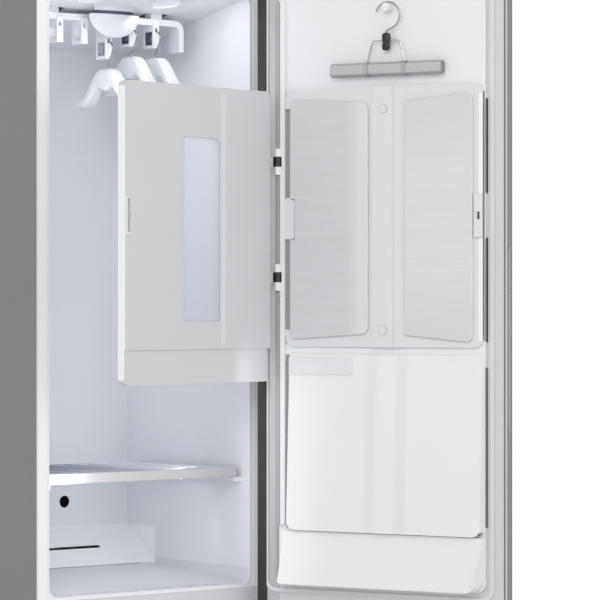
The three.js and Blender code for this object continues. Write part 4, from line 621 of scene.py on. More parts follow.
SHELF_WHITE = Moulded(name="shelf_coat", colour=tint(208, 211, 219), roughness=0.36, zones=(
    # Painted shade: the shelf turns blue-gray towards its left side.
    Zone(tint(150, 156, 168), (-FAR, 60.0), blur=60.0),))
LINER_GRAY = Moulded(name="liner_panel", colour=tint(226, 228, 233), roughness=0.42)
BAY_GRAY = Moulded(name="bay_panel", colour=tint(206, 208, 212), roughness=0.42)
FRAME_TONE = tint(234, 235, 236)
DASH = 38.0
DASH_STARTS = (-236.0, -180.0, -124.0, -68.0, -12.0, 44.0, 100.0, 156.0)
LINER_WITH_FRAME = Moulded(name="liner_with_frame", colour=LINER_GRAY.colour, roughness=0.4, zones=(
    # Painted shade: the front of the floor a shade darker.
    Zone(tint(216, 218, 223), deep=(-261.0, 86.0), up=(540.0, 590.0), blur=2.0),
    # Painted light: the sloped strip behind the floor lighter.
    Zone(tint(240, 242, 246), deep=(90.0, 200.0), up=(580.0, 662.0), blur=2.0),
    # Painted highlight: a narrow pale band beside the mouth's right edge, on the frame's face.
    Zone(tint(246, 247, 248), (274.5, FAR), FRONT_FACE, blur=0.4),
    Zone(FRAME_TONE, (279.6, FAR), FRONT_FACE, blur=0.4),
    Zone(FRAME_TONE, (-FAR, -275.0), FRONT_FACE, blur=0.4),
    Zone(FRAME_TONE, deep=FRONT_FACE, up=(1864.0, FAR), blur=0.4),
    Zone(FRAME_TONE, deep=FRONT_FACE, up=(-FAR, 551.0), blur=0.4),
    Zone(tint(138, 141, 148), (-228.0, 228.0), (86.6, 89.4), (570.0, 590.0)),
    *(Zone(tint(150, 152, 158), (start, start + DASH), (-253.0, -250.2), (540.0, 562.0))
      for start in DASH_STARTS)))
# Painted shade for the insides of slits and gaps.
SLIT_SHADE = tint(150, 152, 154)
LINER_WHITE = Moulded(name="door_liner_shell", colour=tint(229, 231, 233), roughness=0.36,
                      drawn=Drawn.ON_DOOR, zones=(
    # The gray flange along the hinge side: its own gray, deepened there as painted shade.
    Zone(tint(168, 170, 171), (242.5, FAR)),
    # Painted shade in the gap beside the pockets and in the free side's slits.
    Zone(SLIT_SHADE, (212.0, 223.4), up=(684.0, 1064.0)),
    *(Zone(SLIT_SHADE, (-FAR, SLIT_EDGE), up=run) for run in (*CLIP_SLITS, SIDE_SLIT))))
PRESS_WHITE = Moulded(name="press_board", colour=tint(216, 218, 220), roughness=0.4,
                      drawn=Drawn.ON_DOOR, zones=(
    # Painted shade: a soft darker band down the centre ridge's sloped side.
    Zone(tint(207, 209, 211), (-50.0, -43.5), blur=1.5),
    # Painted shade in the gap at the hinge-side edge.
    Zone(tint(152, 154, 156), (207.0, 223.5), (-FAR, -258.6)),
    # Painted highlight on the free side's raised pad edge.
    Zone(tint(240, 241, 242), (-257.4, -248.4), (-257.2, FAR), (1096.0, 1622.0)),
    # Painted shade in the gap beyond it.
    Zone(tint(120, 122, 124), (-FAR, -257.6), up=(1095.0, 1625.0)),
    *(Ring(tint(186, 188, 190), centre=cap, radii=(8.6, 10.0), blur=0.5) for cap in CAPS)))
STRIP_WHITE = Moulded(name="hinge_strip_shell", colour=tint(228, 229, 231), roughness=0.38,
                      drawn=Drawn.ON_DOOR, zones=(
    # Painted shade in two bands along the strip's outer edge.
    *shade_beside_knuckles(tint(148, 150, 152), 234.6), *shade_beside_knuckles(tint(200, 202, 204), 238.4),
    *knuckle_gaps((-261.0, -246.0))))
COVER_WHITE = Moulded(name="press_cover_shell", colour=tint(200, 202, 204), roughness=0.36,
                      drawn=Drawn.ON_COVER, zones=(
    # Painted highlight: a paler band down the groove, as a reflection on the glossy face.
    Zone(tint(212, 214, 216), (52.0, 70.5), (-FAR, -246.0), (1084.0, 1630.0), 1.0),
    # Painted light: the cover's side face paler than its front.
    Zone(tint(238, 239, 240), (-FAR, -259.2)), *knuckle_gaps()))
LATCH_WHITE = Moulded(name="latch_plate_shell", colour=tint(214, 216, 218), roughness=0.34)
# The hinge-side pad is a darker copy of the free-side pad's gray, as painted shade; its paler bands near the inner
# edge are a painted highlight.
HINGE_PAD = Brushed(name="press_plate_hinge_side", colour=tint(201, 203, 205), roughness=0.5, metallic=0.0,
                    streak=0.12, drawn=Drawn.ON_DOOR, zones=(
    Zone(tint(207, 209, 210), (10.0, 60.0), blur=2.0), Zone(tint(214, 216, 217), (10.0, 42.0), blur=3.0)))
FREE_PAD = Brushed(name="press_plate_free_side", colour=tint(212, 214, 216), roughness=0.5, metallic=0.0,
                   streak=0.11, drawn=Drawn.ON_DOOR, zones=tuple(
    # Painted shade: the pad darker towards its top and bottom ends.
    Zone(tint(208, 210, 212), up=end, blur=60.0) for end in ((1520.0, FAR), (-FAR, 1180.0))))
KEEPER_WHITE = Moulded(name="keeper_shell", colour=tint(219, 221, 223), roughness=0.36,
                       drawn=Drawn.ON_DOOR, zones=(
    Zone(tint(60, 61, 63), (-251.5, -246.5), (-FAR, -251.0), (1354.0, 1370.0), 0.2),))
SILVER = Brushed(name="satin_silver", colour=tint(198, 199, 201), roughness=0.42, metallic=0.15,
                 streak=0.03)
BAR_EDGE = tint(128, 130, 132)
BAR_TONE = Brushed(name="trouser_bar_coat", colour=tint(182, 184, 186), roughness=0.4, metallic=0.2,
                   streak=0.03, drawn=Drawn.ON_DOOR, zones=(
    *(Zone(BAR_EDGE, up=edge, blur=0.6) for edge in ((-FAR, 1666.8), (1692.6, FAR))),
    *(Zone(BAR_EDGE, end, blur=0.6) for end in ((-FAR, -165.6), (101.6, FAR))),
    Zone(tint(150, 152, 154), deep=(-243.4, -242.0), blur=0.4)))
CHROME = Metal(name="chrome_wire", colour=tint(196, 198, 200), roughness=0.14)
HOOK_CHROME = Metal(name="hook_wire", colour=tint(150, 152, 156), roughness=0.2)
CLAMP_TONE = Metal(name="trouser_frame_wire", colour=tint(176, 178, 180), roughness=0.28)
GALVANISED = Galvanised(name="galvanised_sheet", colour=tint(168, 171, 174))
CASE_COAT = Coated(name="case_coat", colour=tint(122, 124, 127), roughness=0.36, metallic=0.3, zones=(
    Zone(tint(214, 215, 216), deep=(-FAR, -263.0), blur=0.2),))
DOOR_INNER: Limits = (-275.0, FAR)
DOOR_COAT = Coated(name="door_coat", colour=tint(122, 124, 126), roughness=0.36, metallic=0.2,
                   drawn=Drawn.ON_DOOR, zones=(
    # Bands by depth along the door's edge: the pale line from -287.3 mm is a painted highlight, the gray and dark
    # lines behind it are painted shade, and the pale band from -271.5 mm is the inner flange.
    Zone(tint(118, 120, 122), deep=(-292.0, FAR)),
    Zone(tint(214, 216, 217), deep=(-287.3, FAR)),
    Zone(tint(142, 144, 145), deep=(-282.3, FAR)),
    Zone(tint(84, 86, 88), deep=(-277.5, FAR)),
    Zone(tint(205, 207, 208), deep=(-271.5, FAR)),
    # The flange a darker gray on the hinge side: painted shade.
    Zone(tint(184, 186, 188), (243.0, FAR), (-271.5, FAR)),
    # Painted shadow: black along the hinge side.
    Zone(tint(44, 45, 46), (274.6, FAR), DOOR_INNER),
    # Painted shade in the slits.
    *(Zone(tint(140, 142, 144), SLIT_ACROSS, DOOR_INNER, run) for run in CLIP_SLITS),
    Zone(tint(112, 114, 116), SLIT_ACROSS, DOOR_INNER, SIDE_SLIT),
    # Painted light: the grip pocket lightened to cancel its shade.
    Zone(tint(206, 208, 209), (-299.4, -276.0), (-307.0, -287.0), (899.0, 1301.0))))
SEAL_GRAY = Moulded(name="door_seal", colour=tint(212, 214, 215), roughness=0.6, mottle=0.05,
                    # Painted shadow: the seal black along the hinge side.
                    drawn=Drawn.ON_DOOR, zones=(Zone(tint(44, 45, 46), (274.6, FAR)),))
RUBBER = Moulded(name="foot_rubber", colour=tint(44, 45, 47), roughness=0.62, mottle=0.08, depth=0.00006,
                 grain_scale=500.0)
BLACK = Moulded(name="black_shell", colour=tint(22, 23, 25), roughness=0.3, mottle=0.06)
DOOR_GLASS = Moulded(name="door_front_glass", colour=tint(24, 25, 27), roughness=0.09, mottle=0.02,
                     depth=0.0)
CLEAR = Moulded(name="window_pane", colour=tint(228, 231, 240), roughness=0.1, mottle=0.02, depth=0.0,
                alpha=0.6, drawn=Drawn.ON_COVER, zones=(
    # Painted shade: the pane darker towards its lower part.
    Zone(tint(208, 211, 221), up=(-FAR, 1340.0), blur=220.0),))
TANK = Moulded(name="tank_shell", colour=tint(176, 190, 200), roughness=0.14, depth=0.00001, alpha=0.72)
LAMP = Glowing(name="lamp_lens_glow", colour=tint(214, 216, 224), strength=0.26)


def linked(name: str, mesh: bpy.types.Mesh) -> bpy.types.Object:
    """Adds an object for a mesh to the scene.

    Args:
        name: The object's name.
        mesh: Its mesh.

    Returns:
        The object.
    """
    piece = bpy.data.objects.new(name, mesh)
    bpy.context.scene.collection.objects.link(piece)
    return piece


WELD = 0.000002
FLAT = math.radians(0.4)
EDGE_FROM = math.radians(32)
ROUND_STEPS = 2
FINE_STEPS = 3


def smooth(piece: bpy.types.Object, sharp: float = 34.0) -> None:
    """Shades a piece smooth except at its sharp edges.

    Args:
        piece: The object.
        sharp: Edges that turn by more than this many degrees stay sharp.
    """
    piece.data.shade_smooth()
    piece.data.set_sharp_from_angle(angle=math.radians(sharp))


def settle(piece: bpy.types.Object) -> bpy.types.Object:
    """Makes a piece's modifiers part of its mesh.

    Args:
        piece: The object.

    Returns:
        The same object, with no modifier left.
    """
    graph = bpy.context.evaluated_depsgraph_get()
    made = bpy.data.meshes.new_from_object(piece.evaluated_get(graph))
    piece.modifiers.clear()
    piece.data = made
    return piece


def plain_mesh(name: str, form: bmesh.types.BMesh) -> bpy.types.Mesh:
    """Turns a form into a mesh and frees it.

    Args:
        name: The mesh's name.
        form: The form.

    Returns:
        The mesh.
    """
    mesh = bpy.data.meshes.new(name)
    form.to_mesh(mesh)
    form.free()
    return mesh


def lofted(name: str, rings: Sequence[Sequence[Point]], drawn: Drawn = Drawn.STANDING) -> bpy.types.Mesh:
    """Skins closed rings and caps both ends.

    Args:
        name: The mesh's name.
        rings: Rings of points in millimetres, each with the same count.
        drawn: Where the lengths are measured.

    Returns:
        The closed mesh.
    """
    form = bmesh.new()
    place = drawn.place() @ Matrix.Scale(MM, 4)
    rows = [[form.verts.new(place @ Vector(point)) for point in ring] for ring in rings]
    count = len(rows[0])
    for low, high in zip(rows, rows[1:]):
        for k in range(count):
            form.faces.new((low[k], low[(k + 1) % count], high[(k + 1) % count], high[k]))
    form.faces.new(list(reversed(rows[0])))
    form.faces.new(rows[-1])
    bmesh.ops.recalc_face_normals(form, faces=form.faces)
    return plain_mesh(name, form)


def rounded_ring(count: int, power: float) -> list[tuple[float, float]]:
    """A square of half width 1 with rounded corners.

    Args:
        count: How many points it has.
        power: How round it is: 1 is a circle, and less is squarer.

    Returns:
        The points, turning once about the middle.
    """
    turns = [2 * math.pi * side / count for side in range(count)]
    return [tuple(math.copysign(abs(value) ** power, value) for value in (math.cos(turn), math.sin(turn)))
            for turn in turns]


class Growth:
    """A Geometry Nodes tree with named inputs, grown over a mesh and then made plain."""

    def __init__(self, name: str, inputs: dict[str, str], shape: Callable[[dict[str, Wire]], Wire]) -> None:
        """Builds the tree.

        Args:
            name: The tree's name.
            inputs: The socket type of each input, by name.
            shape: Makes the geometry from the wires of the inputs.
        """
        self.tree = bpy.data.node_groups.new(name, "GeometryNodeTree")
        every = {"Geometry": "NodeSocketGeometry", **inputs, "Finish": "NodeSocketMaterial"}
        for label, kind in every.items():
            self.tree.interface.new_socket(label, in_out="INPUT", socket_type=kind)
        self.tree.interface.new_socket("Geometry", in_out="OUTPUT", socket_type="NodeSocketGeometry")
        entry = self.tree.nodes.new("NodeGroupInput")
        wires = {label: Wire(entry.outputs[label]) for label in every}
        made = shape(wires)
        real = made.node("GeometryNodeRealizeInstances", None, {"Geometry": made})
        dressed = real.node("GeometryNodeSetMaterial", None,
                            {"Geometry": real, "Material": wires["Finish"]})
        leave = self.tree.nodes.new("NodeGroupOutput")
        self.tree.links.new(dressed.socket, leave.inputs["Geometry"])

    def grow(self, mesh: bpy.types.Mesh, finish: Finish, **values: float | int | Point) -> bpy.types.Object:
        """Grows a piece over a mesh.

        Args:
            mesh: The mesh that the tree starts from.
            finish: The piece's finish.
            values: The tree's other inputs, by name.

        Returns:
            The piece, without its modifier.
        """
        piece = linked(mesh.name, mesh)
        growth = piece.modifiers.new(self.tree.name, "NODES")
        growth.node_group = self.tree
        for item in self.tree.interface.items_tree:
            if item.in_out == "INPUT" and item.name in values:
                growth[item.identifier] = values[item.name]
            elif item.name == "Finish":
                growth[item.identifier] = material_of(finish)
        return settle(piece)


def swept(wires: dict[str, Wire]) -> Wire:
    """Runs a round wire along a path that flows through the mesh's points.

    Args:
        wires: The tree's inputs, by name.

    Returns:
        The wire's geometry.
    """
    curve = wires["Geometry"].node("GeometryNodeMeshToCurve", None, {"Mesh": wires["Geometry"]})
    flowing = curve.node("GeometryNodeCurveSplineType", {"spline_type": "CATMULL_ROM"}, {"Curve": curve})
    even = flowing.node("GeometryNodeResampleCurve", None, {"Curve": flowing, "Count": wires["Steps"]})
    ring = even.node("GeometryNodeCurvePrimitiveCircle", None,
                     {"Radius": wires["Radius"], "Resolution": wires["Sides"]})
    return even.node("GeometryNodeCurveToMesh", None,
                     {"Curve": even, "Profile Curve": ring, "Fill Caps": True})


def ranked(wires: dict[str, Wire]) -> Wire:
    """Sets copies of the mesh in a row, each turned a little further about the Y axis.

    Args:
        wires: The tree's inputs, by name.

    Returns:
        The copies as instances.
    """
    points = wires["Geometry"].node("GeometryNodeMeshLine", {"mode": "OFFSET"}, {
        "Count": wires["Count"], "Start Location": wires["Start"], "Offset": wires["Step"]})
    turn = points.node("GeometryNodeInputIndex") * wires["Turn"]
    angles = turn.node("ShaderNodeCombineXYZ", None, {"Y": turn})
    return points.node("GeometryNodeInstanceOnPoints", None, {
        "Points": points, "Instance": wires["Geometry"], "Rotation": angles})


@lru_cache(maxsize=None)
def swept_wire() -> Growth:
    """The tree of every wire."""
    return Growth("swept_wire", {"Radius": "NodeSocketFloat", "Steps": "NodeSocketInt",
                                 "Sides": "NodeSocketInt"}, swept)


@lru_cache(maxsize=None)
def ranked_copies() -> Growth:
    """The tree of every row and ring of like forms."""
    return Growth("ranked_copies", {"Count": "NodeSocketInt", "Start": "NodeSocketVector",
                                    "Step": "NodeSocketVector", "Turn": "NodeSocketFloat"}, ranked)


WIRE_STEPS = 96
WIRE_SIDES = 20


def wire_along(name: str, points: Sequence[Point], radius: float, finish: Finish,
               drawn: Drawn = Drawn.STANDING) -> bpy.types.Object:
    """A round wire through points.

    Args:
        name: The piece's name.
        points: The path in millimetres.
        radius: The wire's radius in millimetres.
        finish: Its finish.
        drawn: Where the lengths are measured.

    Returns:
        The piece.
    """
    place = drawn.place() @ Matrix.Scale(MM, 4)
    path = bpy.data.meshes.new(name)
    edges = [(k, k + 1) for k in range(len(points) - 1)]
    path.from_pydata([place @ Vector(point) for point in points], edges, [])
    piece = swept_wire().grow(path, finish, Radius=radius * MM, Steps=WIRE_STEPS, Sides=WIRE_SIDES)
    smooth(piece, 60.0)
    return piece


def attach(piece: bpy.types.Object, finish: Finish, node: str) -> None:
    """Dresses a piece, seats it on its node's body and lets it stand for the node.

    Args:
        piece: The object.
        finish: Its finish.
        node: The node that it stands for.
    """
    record = frame["record"]
    body = next(body for body, nodes in record["behaviour"]["bodies"].items() if node in nodes)
    piece.data.materials.clear()
    piece.data.materials.append(material_of(finish))
    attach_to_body(piece, body)
    next(part["material_slot"] for part in record["subparts"] if part["node"] == node)
    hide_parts(node)
    log.info("%s on %s for %s", piece.name, body, node)


def soften(node: str, finish: Finish, edge: float, steps: int = ROUND_STEPS) -> None:
    """Puts a finer, dressed copy with rounded edges in a node's place.

    Args:
        node: The node's name.
        finish: Its finish.
        edge: The width of the rounding in millimetres.
        steps: The rounding's faces.
    """
    form = bmesh.new()
    form.from_mesh(frame["nodes"][node].data)
    bmesh.ops.remove_doubles(form, verts=form.verts, dist=WELD)
    bmesh.ops.dissolve_limit(form, angle_limit=FLAT, verts=form.verts, edges=form.edges)
    piece = linked(f"{node}_form", plain_mesh(f"{node}_form", form))
    bevel = piece.modifiers.new("rounded_edges", "BEVEL")
    bevel.width = edge * MM
    bevel.segments = steps
    bevel.limit_method = "ANGLE"
    bevel.angle_limit = EDGE_FROM
    settle(piece)
    smooth(piece)
    evened = piece.modifiers.new("even_normals", "WEIGHTED_NORMAL")
    evened.keep_sharp = True
    attach(piece, finish, node)


def soften_all(finish: Finish, edge: float, *nodes: str) -> None:
    """Softens several nodes alike."""
    for node in nodes:
        soften(node, finish, edge)


def keep(node: str, finish: Finish) -> None:
    """Leaves a node as it is and gives it a finish.

    Args:
        node: The node's name.
        finish: Its finish.
    """
    piece = frame["nodes"][node]
    if not piece.material_slots:
        piece.data.materials.append(None)
    for slot in piece.material_slots:
        slot.material = material_of(finish)
    log.info("%s keeps its form", node)


@dataclass
class OuterBody:
    """Case, back panel, base tray, feet and hinges."""

    case_edge: float = 0.5
    back_edge: float = 0.4
    tray_edge: float = 0.5
    foot_edge: float = 1.0
    hinge_edge: float = 0.8
    cap_edge: float = 2.0

    def build(self) -> None:
        """Dresses the outer body."""
        soften("outer_case", CASE_COAT, self.case_edge)
        soften("back_panel", GALVANISED, self.back_edge)
        soften("base_tray", GALVANISED, self.tray_edge)
        soften_all(RUBBER, self.foot_edge, *(f"leveling_foot_{number}" for number in range(1, 5)))
        soften_all(GALVANISED, self.hinge_edge, "upper_hinge", "lower_hinge")
        soften("hinge_cover", BLACK, self.cap_edge)


@dataclass
class Compartment:
    """The garment space: liner, ceiling and lamps."""

    liner_edge: float = 2.5
    ceiling_edge: float = 0.6
    lens_edge: float = 0.8

    def build(self) -> None:
        """Dresses the garment space."""
        soften("interior_liner", LINER_WITH_FRAME, self.liner_edge, FINE_STEPS)
        soften("ceiling_panel", LINER_GRAY, self.ceiling_edge)
        soften_all(LAMP, self.lens_edge, "lamp_lens_left", "lamp_lens_right")


@dataclass
class Rack:
    """Guide rail, bowl-shaped drive cover and hanger rack."""

    half: float = 67.0
    bulge: float = 15.0
    height: float = 50.0
    back: float = -124.5
    shoulder: float = 1809.0
    lip_share: float = 0.995
    lip: float = 1.0
    collar_share: float = 0.8
    collar_foot: float = 1.6
    rack_edge: float = 1.8
    slope: float = math.tan(0.21)
    ceiling: float = 1830.0
    step: int = 4
    sides: int = 40

    def bowl(self) -> bpy.types.Mesh:
        """Draws half a bowl against its flat back, with a narrower collar up to the sloped ceiling.

        Returns:
            The bowl's closed mesh.
        """
        turns = [math.radians(a) for a in range(self.step, 91, self.step)]
        levels = [(math.sin(a), self.shoulder - self.height * math.cos(a)) for a in turns]
        levels += [(self.lip_share, self.shoulder + self.lip),
                   (self.collar_share, self.shoulder + self.collar_foot), (self.collar_share, None)]
        rings = []
        for share, level in levels:
            ring = []
            for k in range(self.sides + 1):
                around = math.pi * k / self.sides
                y = self.back - self.bulge * share * math.sin(around)
                top = self.ceiling - (y - self.back + self.bulge) * self.slope
                ring.append((self.half * share * math.cos(around), y, top if level is None else level))
            rings.append(ring)
        return lofted("drive_cover_bowl", rings)

    def build(self) -> None:
        """Builds the bowl and dresses the rack."""
        keep("rack_guide_rail", CHROME)
        keep("rack_motor", GALVANISED)
        bowl = linked("drive_cover_bowl", self.bowl())
        smooth(bowl)
        attach(bowl, DRIVE_WHITE, "rack_drive_cover")
        soften("hanger_rack", RACK_WHITE, self.rack_edge, FINE_STEPS)


@dataclass
class Hanger:
    """A moulded hanger: a broad arched arm and its wire hook."""

    number: int
    drop: float
    middle: float = -102.0
    half: float = 120.0
    top: float = 1722.0
    fall: float = 70.0
    flat_share: float = 0.15
    steep_share: float = 0.55
    bend_share: float = 0.8
    sag_share: float = 0.2
    neck: float = 14.0
    shoulder: float = 17.0
    web: float = 50.0
    tip: float = 12.0
    tip_share: float = 0.998
    tip_power: float = 14.0
    web_power: float = 1.2
    squareness: float = 0.5
    neck_path: tuple[tuple[float, float], ...] = ((0.0, 0.3), (0.0, 7.5), (-4.2, 15.0))
    turn_shares: tuple[float, ...] = (1.2, 1.0, 0.84, 0.67, 0.5, 0.33, 0.16, 0.0, -0.16)
    hook_radius: float = 17.0
    hook_wire: float = 1.75
    hook_top: float = 1784.0
    rings: int = 96
    sides: int = 48

    def across(self) -> float:
        """The hanger's place on the rack, in millimetres."""
        low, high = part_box(f"hanger_{self.number}_hook")
        return (low.x + high.x) / 2 / MM

    def fallen(self, reach: float) -> float:
        """How far the top edge has dropped.

        Args:
            reach: The share of the half length from the middle.

        Returns:
            The drop in millimetres: flat, then steep, then easing out.
        """
        slope = min(1.0, max(0.0, (reach - self.flat_share) / self.steep_share))
        return self.fall * (slope * slope * (3 - 2 * slope) * self.bend_share + reach ** 2 * self.sag_share)

    def arm(self) -> bpy.types.Mesh:
        """Draws the arm, from one tip to the other.

        Returns:
            The arm's closed mesh.
        """
        rings = []
        for k in range(self.rings + 1):
            along = math.sin(math.pi * (k / self.rings - 0.5)) * self.tip_share
            reach = abs(along)
            end = math.sqrt(1 - reach ** self.tip_power)
            wide = (self.neck + (self.shoulder - self.neck) * reach) * end
            web = (self.tip + (self.web - self.tip) * (1 - reach) ** self.web_power) * end
            level = self.top - self.drop - self.fallen(reach) - web / 2 - self.tip * (1 - end) / 2
            rings.append([(self.across() + wide * x, self.middle + along * self.half, level + web / 2 * z)
                          for x, z in rounded_ring(self.sides, self.squareness)])
        return lofted(f"hanger_{self.number}_arm", rings)

    def hook(self) -> list[Point]:
        """Draws the hook's path.

        Returns:
            Its points in millimetres.
        """
        x, foot = self.across(), self.top - self.drop
        centre = self.hook_top - self.hook_wire - self.hook_radius - self.drop
        path = [(x, self.middle + along, foot + rise) for along, rise in self.neck_path]
        for share in self.turn_shares:
            path.append((x, self.middle + self.hook_radius * math.cos(math.pi * share),
                         centre + self.hook_radius * math.sin(math.pi * share)))
        return path

    def build(self) -> None:
        """Builds the hanger."""
        body = f"hanger_{self.number}"
        arm = linked(f"{body}_arm", self.arm())
        smooth(arm, 50.0)
        attach(arm, HANGER_WHITE, f"{body}_body")
        hook = wire_along(f"{body}_wire", self.hook(), self.hook_wire, HOOK_CHROME)
        attach(hook, HOOK_CHROME, f"{body}_hook")


@dataclass
class Shelf:
    """The pull-out shelf and its front rail."""

    rack_edge: float = 1.2
    rail_edge: float = 1.5

    def build(self) -> None:
        """Dresses the shelf."""
        soften("shelf_rack", SHELF_WHITE, self.rack_edge, FINE_STEPS)
        soften("shelf_front_rail", SILVER, self.rail_edge, FINE_STEPS)


@dataclass
class FanWheel:
    """The fan's wheel, with curved blades between its plates."""

    centre: Point = (130.0, 60.0, 150.0)
    radius: float = 74.0
    root: float = 46.0
    depth: float = 60.0
    wall: float = 1.2
    blades: int = 36
    bore: float = 5.0
    hub: float = 16.0
    plate: float = 4.0
    sink: float = 0.5
    rim: float = 1.0
    sides: int = 64
    blade_steps: int = 8
    blade_turn: float = 0.36
    blade_curl: float = 1.6

    def disc(self, y0: float, y1: float, inner: float, outer: float) -> bpy.types.Mesh:
        """Draws a flat ring about the wheel's axis.

        Args:
            y0: Its first face along the axis.
            y1: Its second face along the axis.
            inner: Its inner radius.
            outer: Its outer radius.

        Returns:
            The ring's closed mesh.
        """
        form = bmesh.new()
        corners = ((inner, y0), (outer, y0), (outer, y1), (inner, y1))
        rows = []
        for k in range(self.sides):
            turn = 2 * math.pi * k / self.sides
            places = [(self.centre[0] + r * math.cos(turn), self.centre[1] + y,
                       self.centre[2] + r * math.sin(turn)) for r, y in corners]
            rows.append([form.verts.new(Vector(place) * MM) for place in places])
        for k, row in enumerate(rows):
            after = rows[(k + 1) % self.sides]
            for c in range(4):
                form.faces.new((row[c], row[(c + 1) % 4], after[(c + 1) % 4], after[c]))
        bmesh.ops.recalc_face_normals(form, faces=form.faces)
        return plain_mesh("fan_ring", form)

    def blade(self) -> bpy.types.Mesh:
        """Draws one curved blade about the axis.

        Returns:
            The blade's closed mesh.
        """
        rings = []
        half, low = self.wall / 2, self.plate - self.sink
        corners = ((-half, low), (half, low), (half, self.depth - low), (-half, self.depth - low))
        for k in range(self.blade_steps + 1):
            share = k / self.blade_steps
            reach = self.root + (self.radius - self.rim - self.root) * share
            turn = self.blade_turn * share ** self.blade_curl
            rings.append([(reach * math.cos(turn) - side * math.sin(turn), y,
                           reach * math.sin(turn) + side * math.cos(turn)) for side, y in corners])
        return lofted("fan_blade", rings)

    def build(self) -> None:
        """Builds the wheel."""
        start = tuple(Vector(self.centre) * MM)
        ring = ranked_copies().grow(self.blade(), WHITE, Count=self.blades, Start=start,
                                    Step=(0.0, 0.0, 0.0), Turn=2 * math.pi / self.blades)
        inner = self.depth - self.plate
        form = bmesh.new()
        for mesh in (ring.data, self.disc(inner, self.depth, self.bore, self.radius),
                     self.disc(0, self.plate, self.root, self.radius),
                     self.disc(self.depth / 2, inner, self.bore, self.hub)):
            form.from_mesh(mesh)
        ring.data = plain_mesh("fan_wheel_form", form)
        smooth(ring)
        attach(ring, WHITE, "fan_wheel")


@dataclass
class MachineBay:
    """Bay front, tanks, filter and the units behind them."""

    panel_edge: float = 0.8
    tank_edge: float = 2.0
    filter_edge: float = 1.2
    compressor_edge: float = 1.0
    unit_edge: float = 0.6

    def build(self) -> None:
        """Dresses the machine bay."""
        soften_all(BAY_GRAY, self.panel_edge, "bay_front_panel", "tank_bay")
        soften_all(TANK, self.tank_edge, "fresh_tank", "drain_tank")
        soften("lint_filter", WHITE, self.filter_edge)
        soften("compressor", CASE_COAT, self.compressor_edge)
        soften("blower_housing", BLACK, self.unit_edge)
        soften("exchanger_deck", GALVANISED, self.unit_edge)
        soften_all(SILVER, self.unit_edge, "heat_exchangers", "steam_generator")
        soften_all(BLACK, self.unit_edge, "control_box", "drain_pump")
        FanWheel().build()


@dataclass
class Scoop:
    """The lowest pocket of the inner door: a shell that flares out towards its foot."""

    hinge_side: float = 227.0
    free_side: float = -259.0
    foot: float = 562.0
    top: float = 679.0
    face: float = -262.7
    top_rise: float = 12.0
    foot_rise: float = 35.6
    edge: float = 2.0
    hinge_corner: float = 8.0
    free_corner: float = 34.0
    flare: float = 1.5
    end_share: float = 0.0005
    levels: int = 24
    steps: int = 80

    def foot_at(self, x: float) -> float:
        """How high the foot lies, with both its corners rounded.

        Args:
            x: The place across the door.

        Returns:
            The foot's level.
        """
        lift = 0.0
        ends = ((self.hinge_side - x, self.hinge_corner), (x - self.free_side, self.free_corner))
        for away, corner in ends:
            if away < corner:
                lift = max(lift, corner - math.sqrt(max(0.0, corner ** 2 - (corner - away) ** 2)))
        return self.foot + lift

    def section(self, x: float) -> list[Point]:
        """Draws the shell's closed outline at one place across the door.

        Args:
            x: The place across the door.

        Returns:
            The outline's points in millimetres.
        """
        low = self.foot_at(x)
        outer = []
        for k in range(self.levels + 1):
            share = 1 - k / self.levels
            level = low + (self.top - low) * (1 - share)
            rise = self.top_rise + (self.foot_rise - self.top_rise) * share ** self.flare
            if k == 0:
                outer.append((x, self.face + rise - self.edge, level))
                level += self.edge
            outer.append((x, self.face + rise, level))
        return [(x, self.face, low), *outer, (x, self.face, self.top)]

    def build(self) -> None:
        """Builds the pocket."""
        shares = [(1 - math.cos(math.pi * k / self.steps)) / 2 for k in range(self.steps + 1)]
        width = self.hinge_side - self.free_side
        run = 1 - 2 * self.end_share
        rings = [self.section(self.hinge_side - width * (self.end_share + run * share)) for share in shares]
        shell = linked("door_scoop_shell", lofted("door_scoop_shell", rings, Drawn.ON_DOOR))
        smooth(shell, 40.0)
        attach(shell, WHITE, "door_scoop")


@dataclass
class DoorPanel:
    """Door shell, front glass, inner door, gasket, display and pockets."""

    shell_edge: float = 0.8
    liner_edge: float = 3.0
    gasket_edge: float = 1.2
    display_edge: float = 0.5
    pocket_edge: float = 1.2

    def build(self) -> None:
        """Dresses the door."""
        soften("door_shell", DOOR_COAT, self.shell_edge)
        soften("door_glass", DOOR_GLASS, self.shell_edge)
        soften("door_liner", LINER_WHITE, self.liner_edge, FINE_STEPS)
        soften("door_gasket", SEAL_GRAY, self.gasket_edge)
        soften("display_panel", BLACK, self.display_edge)
        soften("pocket_panel", POCKET_WHITE, self.pocket_edge, FINE_STEPS)
        Scoop().build()


@dataclass
class TrouserPress:
    """Press board with pads, keeper and hinge strip, and the cover with window and latch."""

    board_edge: float = 1.2
    pad_edge: float = 2.0
    keeper_edge: float = 0.6
    strip_edge: float = 0.8
    cover_edge: float = 2.5
    latch_edge: float = 0.4

    def build(self) -> None:
        """Dresses the press."""
        soften("press_base", PRESS_WHITE, self.board_edge, FINE_STEPS)
        soften("press_pad_hinge_side", HINGE_PAD, self.pad_edge, FINE_STEPS)
        soften("press_pad_free_side", FREE_PAD, self.pad_edge, FINE_STEPS)
        soften("press_keeper", KEEPER_WHITE, self.keeper_edge)
        soften("press_hinge_strip", STRIP_WHITE, self.strip_edge)
        soften("press_cover", COVER_WHITE, self.cover_edge, FINE_STEPS)
        soften("press_cover_window", CLEAR, self.latch_edge)
        soften("press_latch_plate", LATCH_WHITE, self.latch_edge)
        soften("press_latch_slider", CHROME, self.latch_edge)


